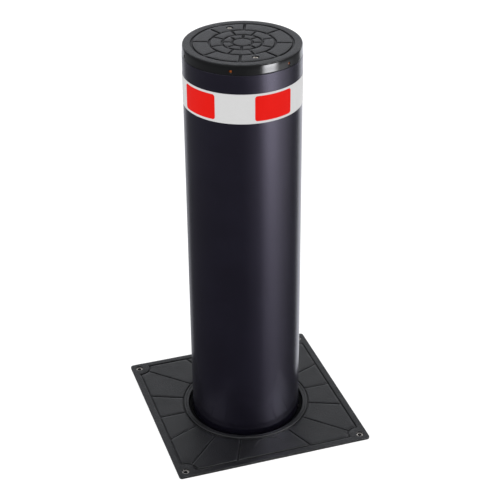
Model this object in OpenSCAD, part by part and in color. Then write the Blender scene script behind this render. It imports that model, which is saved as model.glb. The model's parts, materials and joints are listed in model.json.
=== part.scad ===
// Rising bollard with a belt-driven screw lift, in its foundation casing.
// Stored raised. Millimetres, +Z up, origin at the centre of the casing's underside.
// Inside the modules, z = 0 is the ground: the top face of the cover plate.

/* [Stem] */
// Outside diameter of the stem tube
stem_d = 219.1; // [214:0.1:222]
// Wall of the stem tube
stem_wall = 6; // [4:0.5:8]
// Height of the stem above the ground, which is also the travel of the lift
rise = 794; // [780:1:800]
// Length of the stem tube that stays below the ground
tube_below = 144; // [130:1:180]

/* [Head] */
// Height of the head cap's side
cap_side = 20; // [18:1:30]
// Depth of the grooves in the head cap
cap_groove_depth = 1.8; // [1:0.1:2.5]
// Width of the grooves in the head cap
cap_groove_w = 3; // [2:0.5:4]
// Number of amber lamps round the head
lamp_count = 6; // [3:1:8]
// Height of the reflective band
band_h = 56.7; // [40:0.1:60]
// Width of a red patch, along the band
patch_w = 75; // [50:1:78]
// Height of a red patch
patch_h = 48; // [30:0.5:48]

/* [Cover plate] */
// Side of the square cover plate
plate_side = 396; // [392:1:400]
// Thickness of the cover plate at its edge
plate_t = 5; // [4:0.5:6]
// Radius of the cover plate's corners
plate_corner_r = 6; // [5:1:14]
// Depth of the grooves in the cover plate
plate_groove_depth = 1.4; // [0.8:0.1:2]
// Width of the grooves in the cover plate
plate_groove_w = 3.2; // [2:0.1:4]
// Distance of each corner screw from the two centre lines
corner_screw = 182; // [181:0.5:183]

/* [Casing] */
// Inside width of the square casing
casing_in = 344; // [340:1:344]
// Thickness of the casing's sheet
casing_t = 3; // [2:0.5:3]
// Outside diameter of the drain spigot
drain_d = 63; // [50:1:64]
// Inside diameter of the conduit gland
conduit_d = 25; // [20:1:26]

/* [Lift] */
// Outside diameter of the push rod
rod_d = 60; // [56:1:64]
// Outside diameter of the drive screw
screw_d = 32; // [28:1:34]
// Pitch radius of the pulley on the screw
screw_pulley_r = 40; // [36:1:44]
// Pitch radius of the pulley on the motor
motor_pulley_r = 25; // [22:1:28]
// Distance of the motor's axis from each centre line
motor_xy = 118; // [117:0.5:120]

/* [Hidden] */
$fn = 96;

// Finishes
PAINT = [0.10, 0.09, 0.14];
CAST = [0.16, 0.16, 0.17];
CAP = [0.13, 0.13, 0.14];
ZINC = [0.66, 0.68, 0.70];
STEEL = [0.55, 0.55, 0.57];
STAINLESS = [0.78, 0.78, 0.78];
ALLOY = [0.70, 0.71, 0.73];
RUBBER = [0.05, 0.05, 0.05];
POLYMER = [0.88, 0.88, 0.84];
AMBER = [0.95, 0.45, 0.05];
FILM_WHITE = [0.86, 0.87, 0.88];
FILM_RED = [0.82, 0.10, 0.09];
MOTOR_GREY = [0.25, 0.27, 0.29];
BOX_GREY = [0.62, 0.64, 0.66];
BOARD_GREEN = [0.08, 0.32, 0.17];
LEAD_BLACK = [0.07, 0.07, 0.08];
COPPER = [0.55, 0.33, 0.16];
ORANGE = [0.75, 0.40, 0.08];
BRONZE = [0.72, 0.55, 0.25];

fit = 0.05;
gap = 0.35;
joint = 0.1;
eps = 0.01;

// Stem, from the ground
stem_r = stem_d / 2;
stem_in_r = stem_r - stem_wall;
tube_top = rise - cap_side;
gasket_t = 1;
collar_t = 8;
collar_r = stem_r + 7.5;
collar_top = -tube_below;
collar_bottom = collar_top - collar_t;
shoe_h = 40;
shoe_half_w = 21;
head_plate_t = 12;
head_plate_z = rise - 44;
boss_r = 9;
boss_pos = 75;
cap_screw_r = 3;
cap_screw_hole_r = cap_screw_r + 0.2;
cap_screw_head_r = 5;
cap_well_r = 6.2;
cap_top_t = 8;
cap_lip_r = stem_in_r - gap;
cap_inner_r = cap_lip_r - 4;
cap_ring_r = [18.5, 36.6, 59.8, 91.8];
cap_turn = 1.6;
lamp_turn = 1;
lamp_z = rise - 12.5;
lamp_r = 3;
board_z = lamp_z - 4.5;
band_z = rise - 111.5;
band_t = 0.4;
patch_z = rise - 107;
patch_t = 0.3;
patch_at = [-154.3, -77, 25.7, 103];
patch_corner_r = 5;

// Cover plate and what hangs from it
plate_half = plate_side / 2;
hole_r = stem_r + 8.5;
hub_r = hole_r + 10;
hub_z = -22;
collar_ring_r = hole_r + 11.2;
collar_ring_h = 1.2;
border = plate_half - 14;
corner_arc_r = 23;
plate_screw_hole_r = 4.2;
plate_well_r = 7.3;
plate_well_z = -1.7;
hub_screw_r = hub_r - 4.5;
carrier_half = 150;
carrier_t = 8;
carrier_z = hub_z - carrier_t;
guide_in_r = stem_r + 3.5;
guide_out_r = guide_in_r + 6;
guide_bottom = collar_top + 4;
bush_r = stem_r + 1.1;
rail_in = stem_r + 14;
rail_t = 15;
rail_w = 30;
rail_screw_r = rail_in + 10;
bump_h = 42;
base_top = collar_bottom - rise - bump_h - 2;
base_t = 10;
base_z = base_top - base_t;
base_half = casing_in / 2 - 4;

// Casing
casing_half = casing_in / 2;
casing_out = casing_half + casing_t;
casing_base_t = 5;
casing_depth = -base_z + 113;
frame_top = -plate_t;
frame_t = 6;
frame_half = plate_half - 4;
block_h = 20;
drain_r = drain_d / 2;
drain_in_r = drain_r - 3;
drain_z = -casing_depth + 41;
conduit_r = conduit_d / 2;
conduit_wall = 3.5;
conduit_out_r = conduit_r + conduit_wall;
box_lo = 96;
box_hi = casing_half - 0.3;
box_z = -330;
box_h = 120;
box_wall = 3;
conduit_x = -134;
conduit_z = box_z + 60;
box_entries = [[-118, 140, 0], [-147, 147, 0]];

// Lift
actuator_r = 45;
actuator_in_r = 40;
actuator_flange_r = 64;
actuator_flange_t = 12;
actuator_bolt_r = 55;
gland_top = -58;
gland_cap_t = 8;
rod_r = rod_d / 2;
rod_in_r = rod_r - 8;
rod_flange_r = 40;
rod_flange_t = 8;
rod_bolt_r = 34.5;
nut_h = 60;
nut_bottom = base_top + 6 + rise;
nut_top = nut_bottom + nut_h;
screw_r = screw_d / 2;
screw_top = -90;
screw_foot = base_top + 5;
journal_r = 12.45;
bearing_r = 12.5;
bearing_out_r = 31;
bearing_h = 17;
belt_z = base_z - 70;
pulley_h = 22;
belt_w = 18;
belt_t = 3;
pulley_rim = 1.5;
motor_reach = motor_xy * sqrt(2);
motor_angle = 45;
motor_r = 43;
motor_core_r = 39;
motor_bore_r = 36;
motor_bolt_r = 39.5;
motor_flange_r = 44;
motor_flange_t = 10;
motor_len = 125;
motor_z = base_top + motor_flange_t;
motor_top = motor_z + motor_len;
brake_h = 45;
rotor_r = 24;
shaft_r = 7;
sensor_angle = 247.5;
sensor_r = 6;
flag_tip = 128;
flag_t = 3;
flag_mid = collar_bottom - flag_t / 2;
lamp_lead_angle = 135;
lamp_lead_pos = 80;
lamp_lead_r = 11;
lead_gland_h = 12;
lead_r = 4;

// Routes of the fixed leads, from the ground
motor_lead_route = [
    [motor_xy, motor_xy, motor_top + brake_h + 13], [motor_xy, motor_xy + 2, -700],
    [motor_xy, 140, -650], [112, 155, -590], [80, 157, -540], [0, 157, -520], [-80, 157, -500],
    [-112, 154, -460], [-118, 146, -410], [-118, 140, -370], [-118, 140, box_z - 11]
];
lamp_feed_route = [
    [-57, 57, base_z - 3], [-57, 57, base_z - 10], [-66, 66, base_z - 22], [-90, 90, base_z - 27],
    [-122, 122, base_z - 24], [-138, 138, base_z - 10], [-142, 142, base_top + 20],
    [-146, 146, base_top + 120], [-146, 146, -700], [-146, 146, -450], [-147, 147, box_z - 11]
];

// Helpers

module at_ground() {
    translate([0, 0, casing_depth]) children();
}

module ring(r_in, r_out, z, h) {
    translate([0, 0, z]) difference() {
        cylinder(r = r_out, h = h);
        translate([0, 0, -1]) cylinder(r = r_in, h = h + 2);
    }
}

module disc(r, z, h) {
    translate([0, 0, z]) cylinder(r = r, h = h);
}

module around(count, first = 0) {
    for (i = [0 : count - 1]) rotate([0, 0, first + i * 360 / count]) children();
}

module at_motor() {
    translate([motor_xy, motor_xy, 0]) children();
}

module at_lamp_lead() {
    rotate([0, 0, lamp_lead_angle]) translate([lamp_lead_pos, 0, 0]) children();
}

module four_corners(at) {
    for (x = [-at, at], y = [-at, at]) translate([x, y, 0]) children();
}

module rounded_square(half, r) {
    square([2 * half, 2 * (half - r)], center = true);
    square([2 * (half - r), 2 * half], center = true);
    for (x = [-half + r, half - r], y = [-half + r, half - r]) translate([x, y]) circle(r = r);
}

// Groove section: open at the top, with sloping sides
function groove(w, d) =
    let (half = w / 2, floor_half = w / 4, over = 0.4)
        [
            [-half - over, over], [-half, 0], [-floor_half, -d],
            [floor_half, -d], [half, 0], [half + over, over]
        ];

module ring_groove(r, z, w, d) {
    translate([0, 0, z]) rotate_extrude() translate([r, 0]) polygon(groove(w, d));
}

module straight_groove(from, to, z, w, d) {
    translate([from, 0, z]) rotate([90, 0, 90]) linear_extrude(to - from) polygon(groove(w, d));
}

module screw_head(r, h, key_r) {
    difference() {
        cylinder(r = r, h = h);
        translate([0, 0, h * 0.4]) cylinder(r = key_r, h = h, $fn = 6);
    }
}

// Points round two circles on the line from the lift's axis to the motor's, joined by tangents
function belt_points(r_screw, r_motor) =
    let (lean = acos((r_screw - r_motor) / motor_reach), steps = 60, turn = 360 - 2 * lean)
        concat(
            [
                for (i = [0 : steps])
                    let (a = lean + i * turn / steps)
                        r_screw * [cos(a), sin(a)]
            ],
            [
                for (i = [0 : steps])
                    let (a = -lean + i * 2 * lean / steps)
                        [motor_reach, 0] + r_motor * [cos(a), sin(a)]
            ]
        );

module belt_outline(r_screw, r_motor) {
    rotate(motor_angle) polygon(belt_points(r_screw, r_motor));
}

module gland(r, h, bore) {
    difference() {
        union() {
            cylinder(r = r, h = h * 0.5, $fn = 6);
            translate([0, 0, h * 0.5]) cylinder(r1 = r * 0.85, r2 = r * 0.6, h = h * 0.5);
        }
        translate([0, 0, -1]) cylinder(r = bore, h = h + 2);
    }
}

// Smooth tube along a route
function spline(a, b, c, d, t) =
    let (
        slope = c - a,
        square_part = 2 * a - 5 * b + 4 * c - d,
        cube_part = 3 * b - a - 3 * c + d
    )
        0.5 * (2 * b + slope * t + square_part * t * t + cube_part * t * t * t);
function smooth(p, steps) = [
    for (i = [0 : len(p) - 2], k = [0 : steps - 1])
        spline(p[max(i - 1, 0)], p[i], p[i + 1], p[min(i + 2, len(p) - 1)], k / steps),
    p[len(p) - 1]
];
function unit(v) = v / norm(v);
function heading(p, i) = unit(p[min(i + 1, len(p) - 1)] - p[max(i - 1, 0)]);
function side_of(v) = unit(cross(v, [0.37, 0.61, 0.02]));

module lead(route, r, steps = 6, sides = 10) {
    path = smooth(route, steps);
    count = len(path);
    points = [
        for (i = [0 : count - 1], k = [0 : sides - 1])
            let (v = heading(path, i), s = side_of(v), u = cross(v, s), a = 360 * k / sides)
                path[i] + r * (cos(a) * s + sin(a) * u)
    ];
    walls = [
        for (i = [0 : count - 2], k = [0 : sides - 1])
            let (n = (k + 1) % sides)
                [i * sides + k, (i + 1) * sides + k, (i + 1) * sides + n, i * sides + n]
    ];
    start = [for (k = [0 : sides - 1]) k];
    end = [for (k = [0 : sides - 1]) count * sides - 1 - k];
    polyhedron(points, concat([start], walls, [end]));
}

// Foundation casing

module casing_panels() {
    h = casing_depth - casing_base_t + frame_top - frame_t;
    color(ZINC) at_ground() translate([0, 0, -casing_depth + casing_base_t]) {
        for (side = [-1, 1]) difference() {
            translate([side > 0 ? casing_half : -casing_out, -casing_out, 0])
                cube([casing_t, 2 * casing_out, h]);
            if (side < 0)
                translate([-casing_out - 1, 0, drain_z + casing_depth - casing_base_t])
                    rotate([0, 90, 0]) cylinder(r = drain_in_r, h = casing_t + 2);
        }
        for (side = [-1, 1]) difference() {
            translate([-casing_half + joint, side > 0 ? casing_half : -casing_out, 0])
                cube([2 * (casing_half - joint), casing_t, h]);
            if (side > 0)
                translate([conduit_x, casing_half - 1, conduit_z + casing_depth - casing_base_t])
                    rotate([-90, 0, 0]) cylinder(r = conduit_out_r + gap, h = casing_t + 2);
        }
    }
}

module casing_frame() {
    bar = frame_half - casing_half;
    underside = frame_top - frame_t;
    block_half = 7.2;
    color(ZINC) at_ground() {
        for (side = [-1, 1]) difference() {
            translate([side > 0 ? casing_half : -frame_half, -frame_half, underside])
                cube([bar, 2 * frame_half, frame_t]);
            four_corners(corner_screw) disc(plate_screw_hole_r, underside - 1, frame_t + 2);
        }
        for (side = [-1, 1])
            translate([-casing_half + joint, side > 0 ? casing_half : -frame_half, underside])
                cube([2 * (casing_half - joint), bar, frame_t]);
        four_corners(corner_screw + 0.6) difference() {
            translate([-block_half, -block_half, underside - block_h - joint])
                cube([2 * block_half, 2 * block_half, block_h]);
            disc(4.8, underside - block_h - 1, block_h + 2);
        }
    }
}

module casing_base() {
    color(ZINC) at_ground() translate([-casing_out, -casing_out, -casing_depth])
        cube([2 * casing_out, 2 * casing_out, casing_base_t]);
}

module anchor_lugs() {
    reach = 19;
    t = 4;
    drop = 40;
    w = 40;
    color(ZINC) at_ground() for (z = [-260, -casing_depth + 300]) around(4)
        translate([casing_out, w / 2, z]) rotate([90, 0, 0]) linear_extrude(w)
            polygon([[0, 0], [reach, 0], [reach, -drop], [reach - t, -drop], [reach - t, -t], [0, -t]]);
}

module drain_spigot() {
    color(ZINC) at_ground() translate([-casing_out, 0, drain_z]) rotate([0, -90, 0]) difference() {
        union() {
            cylinder(r = drain_r, h = 22.5);
            cylinder(r = drain_r + 6, h = 2.5);
        }
        translate([0, 0, -1]) cylinder(r = drain_in_r, h = 30);
    }
}

module drain_grate() {
    grate_r = drain_r + 2;
    grate_t = 2;
    hole = 4;
    inner_row_r = 12;
    outer_row_r = 22.5;
    color(STAINLESS) at_ground()
        translate([-casing_half + joint, 0, drain_z]) rotate([0, 90, 0]) difference() {
            cylinder(r = grate_r, h = grate_t);
            disc(hole, -1, grate_t + 2);
            around(6) translate([inner_row_r, 0, 0]) disc(hole, -1, grate_t + 2);
            around(12, 15) translate([outer_row_r, 0, 0]) disc(hole, -1, grate_t + 2);
        }
}

module conduit_gland() {
    inner_y = box_hi - box_wall - 8;
    outer_y = plate_half - 1;
    color(LEAD_BLACK) at_ground()
        translate([conduit_x, 0, conduit_z]) rotate([-90, 0, 0]) difference() {
            union() {
                disc(conduit_out_r, inner_y, outer_y - inner_y);
                disc(conduit_out_r + 8, casing_out, 6, $fn = 6);
                disc(conduit_out_r + 6, inner_y + 1, 6.8, $fn = 6);
            }
            disc(conduit_r, inner_y - 1, outer_y - inner_y + 2);
        }
}

module earth_stud() {
    stud_r = 5;
    color(STAINLESS) at_ground() translate([70, -casing_half, -90]) rotate([-90, 0, 0]) {
        disc(stud_r, 0, 30);
        disc(11, 0, 2);
        difference() {
            disc(9, 4, 8, $fn = 6);
            disc(stud_r + gap, 3, 10);
        }
    }
}

// Cover plate

module plate_pattern() {
    w = plate_groove_w;
    d = plate_groove_depth;
    spokes = 16;
    plain_spoke = 12;
    for (i = [0 : spokes - 1]) if (i != plain_spoke) {
        spoke = i * 360 / spokes;
        diagonal = i % 4 == 2;
        side_reach = border / max(abs(cos(spoke)), abs(sin(spoke)));
        reach = diagonal ? corner_screw * sqrt(2) - corner_arc_r : side_reach;
        rotate([0, 0, spoke]) straight_groove(collar_ring_r, reach, 0, w, d);
    }
    side_end = border - 24;
    around(4) translate([0, -border, 0]) straight_groove(-side_end, side_end, 0, w, d);
    corner = 30;
    around(4) intersection() {
        translate([corner_screw, corner_screw, 0]) ring_groove(corner_arc_r, 0, w, d);
        translate([border - corner, border - corner, -5])
            cube([corner + w / 2, corner + w / 2, 10]);
    }
    ring_groove(collar_ring_r, 0, w, d);
}

module rib_arc() {
    arc_r = 33;
    foot_half = 1.3;
    top_half = 0.7;
    translate([0, -166, 0]) intersection() {
        rotate_extrude() translate([arc_r, 0])
            polygon([[-foot_half, -0.5], [-top_half, 0.8], [top_half, 0.8], [foot_half, -0.5]]);
        translate([-40, 10, -2]) cube([80, 40, 4]);
    }
}

module cover_plate() {
    rib_t = 6;
    rib_z = hub_z + 6;
    crest_r = hole_r + 6;
    foot_r = collar_ring_r - plate_groove_w / 2;
    sink = plate_well_r - plate_screw_hole_r;
    color(CAST) at_ground() difference() {
        union() {
            difference() {
                translate([0, 0, -plate_t]) linear_extrude(plate_t)
                    rounded_square(plate_half, plate_corner_r);
                plate_pattern();
            }
            rib_arc();
            disc(hub_r, hub_z, -hub_z - plate_t + 1);
            rotate_extrude() polygon([
                [hole_r - 1, -plate_t], [hole_r - 1, 0], [crest_r, collar_ring_h],
                [crest_r + 2.5, collar_ring_h], [foot_r, -eps], [foot_r, -plate_t]
            ]);
            around(8, 22.5) translate([hub_r - 1, -rib_t / 2, rib_z])
                cube([casing_half - 4 - hub_r, rib_t, -rib_z - plate_t + 1]);
        }
        disc(hole_r, hub_z - 1, 40);
        rotate_extrude() polygon([
            [hole_r - 1, -1.2], [hole_r, -1.2], [hole_r + 1.2, 0.15],
            [crest_r, collar_ring_h + eps], [hole_r - 1, collar_ring_h + 1]
        ]);
        four_corners(corner_screw) {
            disc(plate_screw_hole_r, -plate_t - 1, plate_t + 2);
            translate([0, 0, plate_well_z - sink])
                cylinder(r1 = plate_screw_hole_r, r2 = plate_well_r, h = sink + eps);
            disc(plate_well_r, plate_well_z, 3);
        }
        around(8, 22.5) translate([hub_screw_r, 0, 0]) disc(2.7, hub_z - 1, 13);
    }
}

module plate_screws() {
    shank_r = 3.9;
    head_r = 6.9;
    head_h = head_r - shank_r;
    rim_z = plate_well_z - 0.1;
    cone_z = rim_z - head_h;
    socket_r = 3.6;
    socket_z = rim_z - 2.4;
    color(STAINLESS) at_ground() four_corners(corner_screw) difference() {
        union() {
            disc(shank_r, -30, 30 + cone_z + 0.1);
            translate([0, 0, cone_z]) cylinder(r1 = shank_r, r2 = head_r, h = head_h);
            disc(head_r, rim_z - eps, 0.2);
        }
        disc(socket_r, socket_z, 4, $fn = 6);
    }
}

module wiper_seal() {
    lip = bush_r;
    out = hole_r - 0.2;
    foot = hub_z + 0.2;
    top = -9.5;
    color(RUBBER) at_ground() rotate_extrude() polygon([
        [lip, top + 2], [lip + 0.7, top + 2.4], [lip + 3.4, top], [out, top], [out, foot],
        [lip + 1.5, foot], [lip + 1.5, foot + 3.8], [lip, foot + 4.8], [lip, foot + 5.4],
        [lip + 2.2, foot + 6.3], [lip + 2.2, top - 2], [lip, top + 0.9]
    ]);
}

// Guide frame

module carrier_plate() {
    color(ZINC) at_ground() difference() {
        translate([0, 0, carrier_z]) linear_extrude(carrier_t) rounded_square(carrier_half, 12);
        disc(guide_out_r + 0.1, carrier_z - 1, carrier_t + 2);
        around(8, 22.5) translate([hub_screw_r, 0, 0]) disc(2.9, carrier_z - 1, carrier_t + 2);
        around(4) translate([rail_screw_r, 0, 0]) disc(4.4, carrier_z - 1, carrier_t + 2);
    }
}

module guide_tube() {
    color(STEEL) at_ground() ring(guide_in_r, guide_out_r, guide_bottom, hub_z - guide_bottom);
}

module guide_bushes() {
    color(POLYMER) at_ground() {
        ring(bush_r, guide_in_r - 0.1, hub_z - 42, 40);
        ring(bush_r, guide_in_r - 0.1, guide_bottom + 2, 36);
    }
}

module guide_rails() {
    h = carrier_z - base_top;
    depth = 25;
    color(STEEL) at_ground() around(4) difference() {
        translate([rail_in, -rail_w / 2, base_top]) cube([rail_t, rail_w, h]);
        translate([rail_screw_r, 0, 0]) {
            disc(4.2, carrier_z - depth, depth + 1);
            disc(4.2, base_top - 1, depth + 1);
        }
    }
}

module frame_screws() {
    color(STAINLESS) at_ground() {
        around(8, 22.5) translate([hub_screw_r, 0, 0]) {
            disc(2.5, carrier_z, carrier_t + 10);
            translate([0, 0, carrier_z]) mirror([0, 0, 1]) screw_head(3.9, 5, 2);
        }
        around(4) translate([rail_screw_r, 0, 0]) {
            disc(4, carrier_z - 22, carrier_t + 22);
            translate([0, 0, hub_z]) screw_head(4.7, 5, 3);
            disc(4, base_z, base_t + 22);
            translate([0, 0, base_z]) mirror([0, 0, 1]) screw_head(6.5, 8, 3);
        }
    }
}

module base_plate() {
    from = base_z - 1;
    cut = base_t + 2;
    color(ZINC) at_ground() difference() {
        translate([0, 0, base_z]) linear_extrude(base_t) rounded_square(base_half, 12);
        disc(22, from, cut);
        around(6) translate([actuator_bolt_r, 0, 0]) disc(4.4, from, cut);
        around(4) translate([rail_screw_r, 0, 0]) disc(4.4, from, cut);
        at_motor() {
            disc(18, from, cut);
            around(4, 45) translate([motor_bolt_r, 0, 0]) disc(2.8, from, cut);
        }
        for (x = [-1, 1]) translate([x * motor_xy, -motor_xy, 0]) disc(26, from, cut);
        translate([-140, 140, 0]) disc(14, from, cut);
        at_lamp_lead() disc(6.2, from, cut);
    }
}

module bump_stops() {
    bump_r = 9.5;
    tip = 4;
    color(RUBBER) at_ground() around(4, 45) translate([stem_r - 3, 0, base_top]) {
        cylinder(r = bump_r, h = bump_h - tip);
        translate([0, 0, bump_h - tip]) cylinder(r1 = bump_r, r2 = bump_r - 2.5, h = tip);
    }
}

// Lift drive

module actuator_tube() {
    color(ALLOY) at_ground() difference() {
        union() {
            disc(actuator_r, base_top, gland_top - gland_cap_t - base_top);
            disc(actuator_flange_r, base_top, actuator_flange_t);
        }
        disc(actuator_in_r, base_top - 1, -base_top);
        around(6) translate([actuator_bolt_r, 0, 0]) disc(4.4, base_top - 1, actuator_flange_t + 2);
    }
}

module actuator_screws() {
    color(STAINLESS) at_ground() around(6) translate([actuator_bolt_r, 0, 0]) {
        disc(4, base_z - 16, base_t + actuator_flange_t + 16);
        translate([0, 0, base_top + actuator_flange_t]) screw_head(6.5, 8, 3);
        difference() {
            disc(7, base_z - 17, 6.8, $fn = 6);
            disc(4, base_z - 18, 9);
        }
    }
}

module rod_gland() {
    color(STEEL) at_ground() difference() {
        union() {
            disc(actuator_r, gland_top - gland_cap_t, gland_cap_t);
            disc(actuator_in_r - 0.1, gland_top - 42, 42);
        }
        disc(rod_r + fit, gland_top - 50, 60);
        rotate_extrude() translate([rod_r, gland_top - 30]) square([3, 4]);
        rotate_extrude() translate([rod_r, gland_top - 6]) square([4, 4]);
    }
}

module bearing_housing() {
    color(ALLOY) at_ground() difference() {
        union() {
            disc(actuator_flange_r, base_z - 10, 10);
            disc(44, base_z - 40, 30);
        }
        disc(bearing_out_r + 0.1, base_z - 36, 40);
        disc(16, base_z - 41, 10);
        around(6) translate([actuator_bolt_r, 0, 0]) disc(4.4, base_z - 11, 12);
    }
}

module screw_bearings() {
    lower_z = base_z - 35.9;
    color(STAINLESS) at_ground() for (z = [lower_z, lower_z + bearing_h + 0.2]) difference() {
        ring(bearing_r, bearing_out_r, z, bearing_h);
        ring_groove(21.5, z + bearing_h, 8, 1.5);
    }
}

module motor_flange() {
    color(ALLOY) at_ground() at_motor() difference() {
        union() {
            disc(motor_flange_r, base_top, motor_flange_t);
            disc(17.5, base_z + 0.5, base_t);
        }
        disc(shaft_r + fit, base_z - 1, 40);
        around(4, 45) translate([motor_bolt_r, 0, 0]) disc(2.8, base_top - 1, motor_flange_t + 2);
    }
}

module motor_housing() {
    fins = 24;
    fin_t = 2.8;
    fin_root = motor_core_r - 4;
    color(MOTOR_GREY) at_ground() at_motor() translate([0, 0, motor_z]) difference() {
        linear_extrude(motor_len) {
            circle(r = motor_core_r - 1);
            for (i = [0 : fins - 1])
                rotate(i * 360 / fins) translate([fin_root, -fin_t / 2])
                    square([motor_r - fin_root, fin_t]);
        }
        disc(motor_bore_r, -1, motor_len + 2);
        around(4, 45) translate([motor_bolt_r, 0, 0]) disc(4.6, -1, 12);
    }
}

module motor_stator() {
    slots = 12;
    slot_w = 3;
    color(COPPER) at_ground() at_motor() translate([0, 0, motor_z + 12]) difference() {
        disc(motor_bore_r - 0.2, 0, motor_len - 30);
        disc(rotor_r + 1, -1, motor_len);
        around(slots) translate([rotor_r - 1, -slot_w / 2, -1]) cube([8, slot_w, motor_len]);
    }
}

module motor_screws() {
    color(STAINLESS) at_ground() at_motor() around(4, 45) translate([motor_bolt_r, 0, 0]) {
        disc(2.5, base_z + 0.5, base_t + motor_flange_t - 0.5);
        translate([0, 0, motor_z]) screw_head(4, 5, 2);
    }
}

module brake_cover() {
    slope = 8;
    color(MOTOR_GREY) at_ground() at_motor() translate([0, 0, motor_top]) difference() {
        union() {
            cylinder(r = motor_r, h = brake_h - slope);
            translate([0, 0, brake_h - slope])
                cylinder(r1 = motor_r, r2 = motor_r - slope, h = slope);
        }
        disc(motor_bore_r, -1, brake_h - 4);
        disc(lead_r + gap, brake_h - 6, 8);
    }
}

module drive_belt() {
    inside = gap;
    outside = gap + belt_t;
    color(RUBBER) at_ground() translate([0, 0, belt_z + (pulley_h - belt_w) / 2])
        linear_extrude(belt_w) difference() {
            belt_outline(screw_pulley_r + outside, motor_pulley_r + outside);
            belt_outline(screw_pulley_r + inside, motor_pulley_r + inside);
        }
}

module belt_cover() {
    wall = 2.5;
    big_r = actuator_flange_r + 6;
    small_r = 44;
    h = base_z - belt_z + 12;
    color(MOTOR_GREY) at_ground() translate([0, 0, base_z - h]) difference() {
        linear_extrude(h) belt_outline(big_r, small_r);
        translate([0, 0, wall]) linear_extrude(h) belt_outline(big_r - wall, small_r - wall);
        for (x = [-30, 70]) rotate([0, 0, motor_angle]) translate([x, 0, 0]) disc(6, -1, wall + 2);
    }
}

module drive_screw() {
    pitch = 8;
    thread_d = 1.6;
    tooth = [[0, 0], [-thread_d, 1.8], [-thread_d, 3.4], [0, 5.2]];
    thread_from = screw_foot + 8;
    turns = floor((screw_top - 6 - thread_from) / pitch);
    profile = concat(
        [[0, screw_foot], [screw_r, screw_foot]],
        [for (i = [0 : turns - 1], p = tooth) [screw_r + p[0], thread_from + i * pitch + p[1]]],
        [[screw_r, screw_top - 2], [screw_r - 2, screw_top], [0, screw_top]]
    );
    color(STAINLESS) at_ground() {
        rotate_extrude() polygon(profile);
        disc(journal_r, belt_z - 4, screw_foot - belt_z + 4);
    }
}

module pulley(r, bore) {
    rim_r = r + belt_t + 1.5;
    difference() {
        union() {
            disc(r, 0, pulley_h);
            disc(rim_r, 0, pulley_rim);
            disc(rim_r, pulley_h - pulley_rim, pulley_rim);
        }
        disc(bore, -1, pulley_h + 2);
    }
}

module screw_pulley() {
    color(ALLOY) at_ground() translate([0, 0, belt_z]) difference() {
        pulley(screw_pulley_r, journal_r + 0.1);
        around(6) translate([25.5, 0, 0]) disc(6.5, -1, pulley_h + 2);
    }
}

module motor_rotor() {
    color(STEEL) at_ground() at_motor() {
        disc(shaft_r, belt_z - 3, motor_top + 14 - belt_z);
        disc(rotor_r, motor_z + 14, motor_len - 34);
        disc(28, motor_top + 2, 10);
    }
}

module motor_pulley() {
    color(ALLOY) at_ground() at_motor() translate([0, 0, belt_z])
        pulley(motor_pulley_r, shaft_r + 0.1);
}

// Electrics

module sensor_strip() {
    strip_x = 145;
    strip_t = 4;
    strip_w = 24;
    color(ZINC) at_ground() rotate([0, 0, sensor_angle]) difference() {
        translate([strip_x, -strip_w / 2, base_top]) cube([strip_t, strip_w, carrier_z - base_top]);
        for (z = [0, -rise])
            translate([0, 0, flag_mid + z]) rotate([0, 90, 0])
                disc(sensor_r + 0.2, strip_x - 1, strip_t + 2);
    }
}

module limit_sensors() {
    nut_t = 4;
    color(STAINLESS) at_ground() rotate([0, 0, sensor_angle]) for (z = [0, -rise])
        translate([flag_tip + 1.5, 0, flag_mid + z]) rotate([0, 90, 0]) {
            disc(sensor_r, 0, 38);
            for (at = [11.3, 19.7]) difference() {
                disc(9.5, at, nut_t, $fn = 6);
                disc(sensor_r, at - 0.5, nut_t + 1);
            }
        }
}

module junction_box() {
    side = box_hi - box_lo;
    room = side - 2 * box_wall;
    color(BOX_GREY) at_ground() difference() {
        translate([-box_hi, box_lo, box_z]) cube([side, side, box_h]);
        translate([-box_hi + box_wall, box_lo + box_wall, box_z + box_wall])
            cube([room, room, box_h]);
        translate([conduit_x, 0, conduit_z]) rotate([-90, 0, 0])
            disc(conduit_out_r + gap, box_hi - box_wall - 1, box_wall + 2);
        for (p = box_entries) translate(p) disc(lead_r + 1, box_z - 1, box_wall + 2);
    }
}

module junction_lid() {
    side = box_hi - box_lo;
    lip = box_wall + gap;
    screw_at = 8;
    color(BOX_GREY) at_ground() translate([-box_hi, box_lo, box_z + box_h]) difference() {
        union() {
            cube([side, side, 5]);
            translate([lip, lip, -3]) cube([side - 2 * lip, side - 2 * lip, 4]);
        }
        for (x = [screw_at, side - screw_at], y = [screw_at, side - screw_at])
            translate([x, y, 0]) disc(3, 2.5, 4);
    }
}

module lead_glands() {
    bore = lead_r + gap;
    color(LEAD_BLACK) at_ground() {
        at_motor() translate([0, 0, motor_top + brake_h]) gland(9, lead_gland_h, bore);
        for (p = box_entries)
            translate([p[0], p[1], box_z]) mirror([0, 0, 1]) gland(9, lead_gland_h, bore);
        at_lamp_lead() translate([0, 0, base_top]) gland(10, lead_gland_h, bore);
    }
}

module motor_lead() {
    color(LEAD_BLACK) at_ground() lead(motor_lead_route, lead_r);
}

module lamp_feed() {
    color(LEAD_BLACK) at_ground() lead(lamp_feed_route, lead_r - 1);
}

module lamp_lead() {
    foot = base_top + lead_gland_h + 0.5;
    color(LEAD_BLACK) at_ground() at_lamp_lead()
        disc(lamp_lead_r, foot, head_plate_z - 0.5 - foot);
}

// Moving stem

module stem_tube() {
    color(PAINT) at_ground() ring(stem_in_r, stem_r, collar_top, tube_top - collar_top);
}

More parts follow.
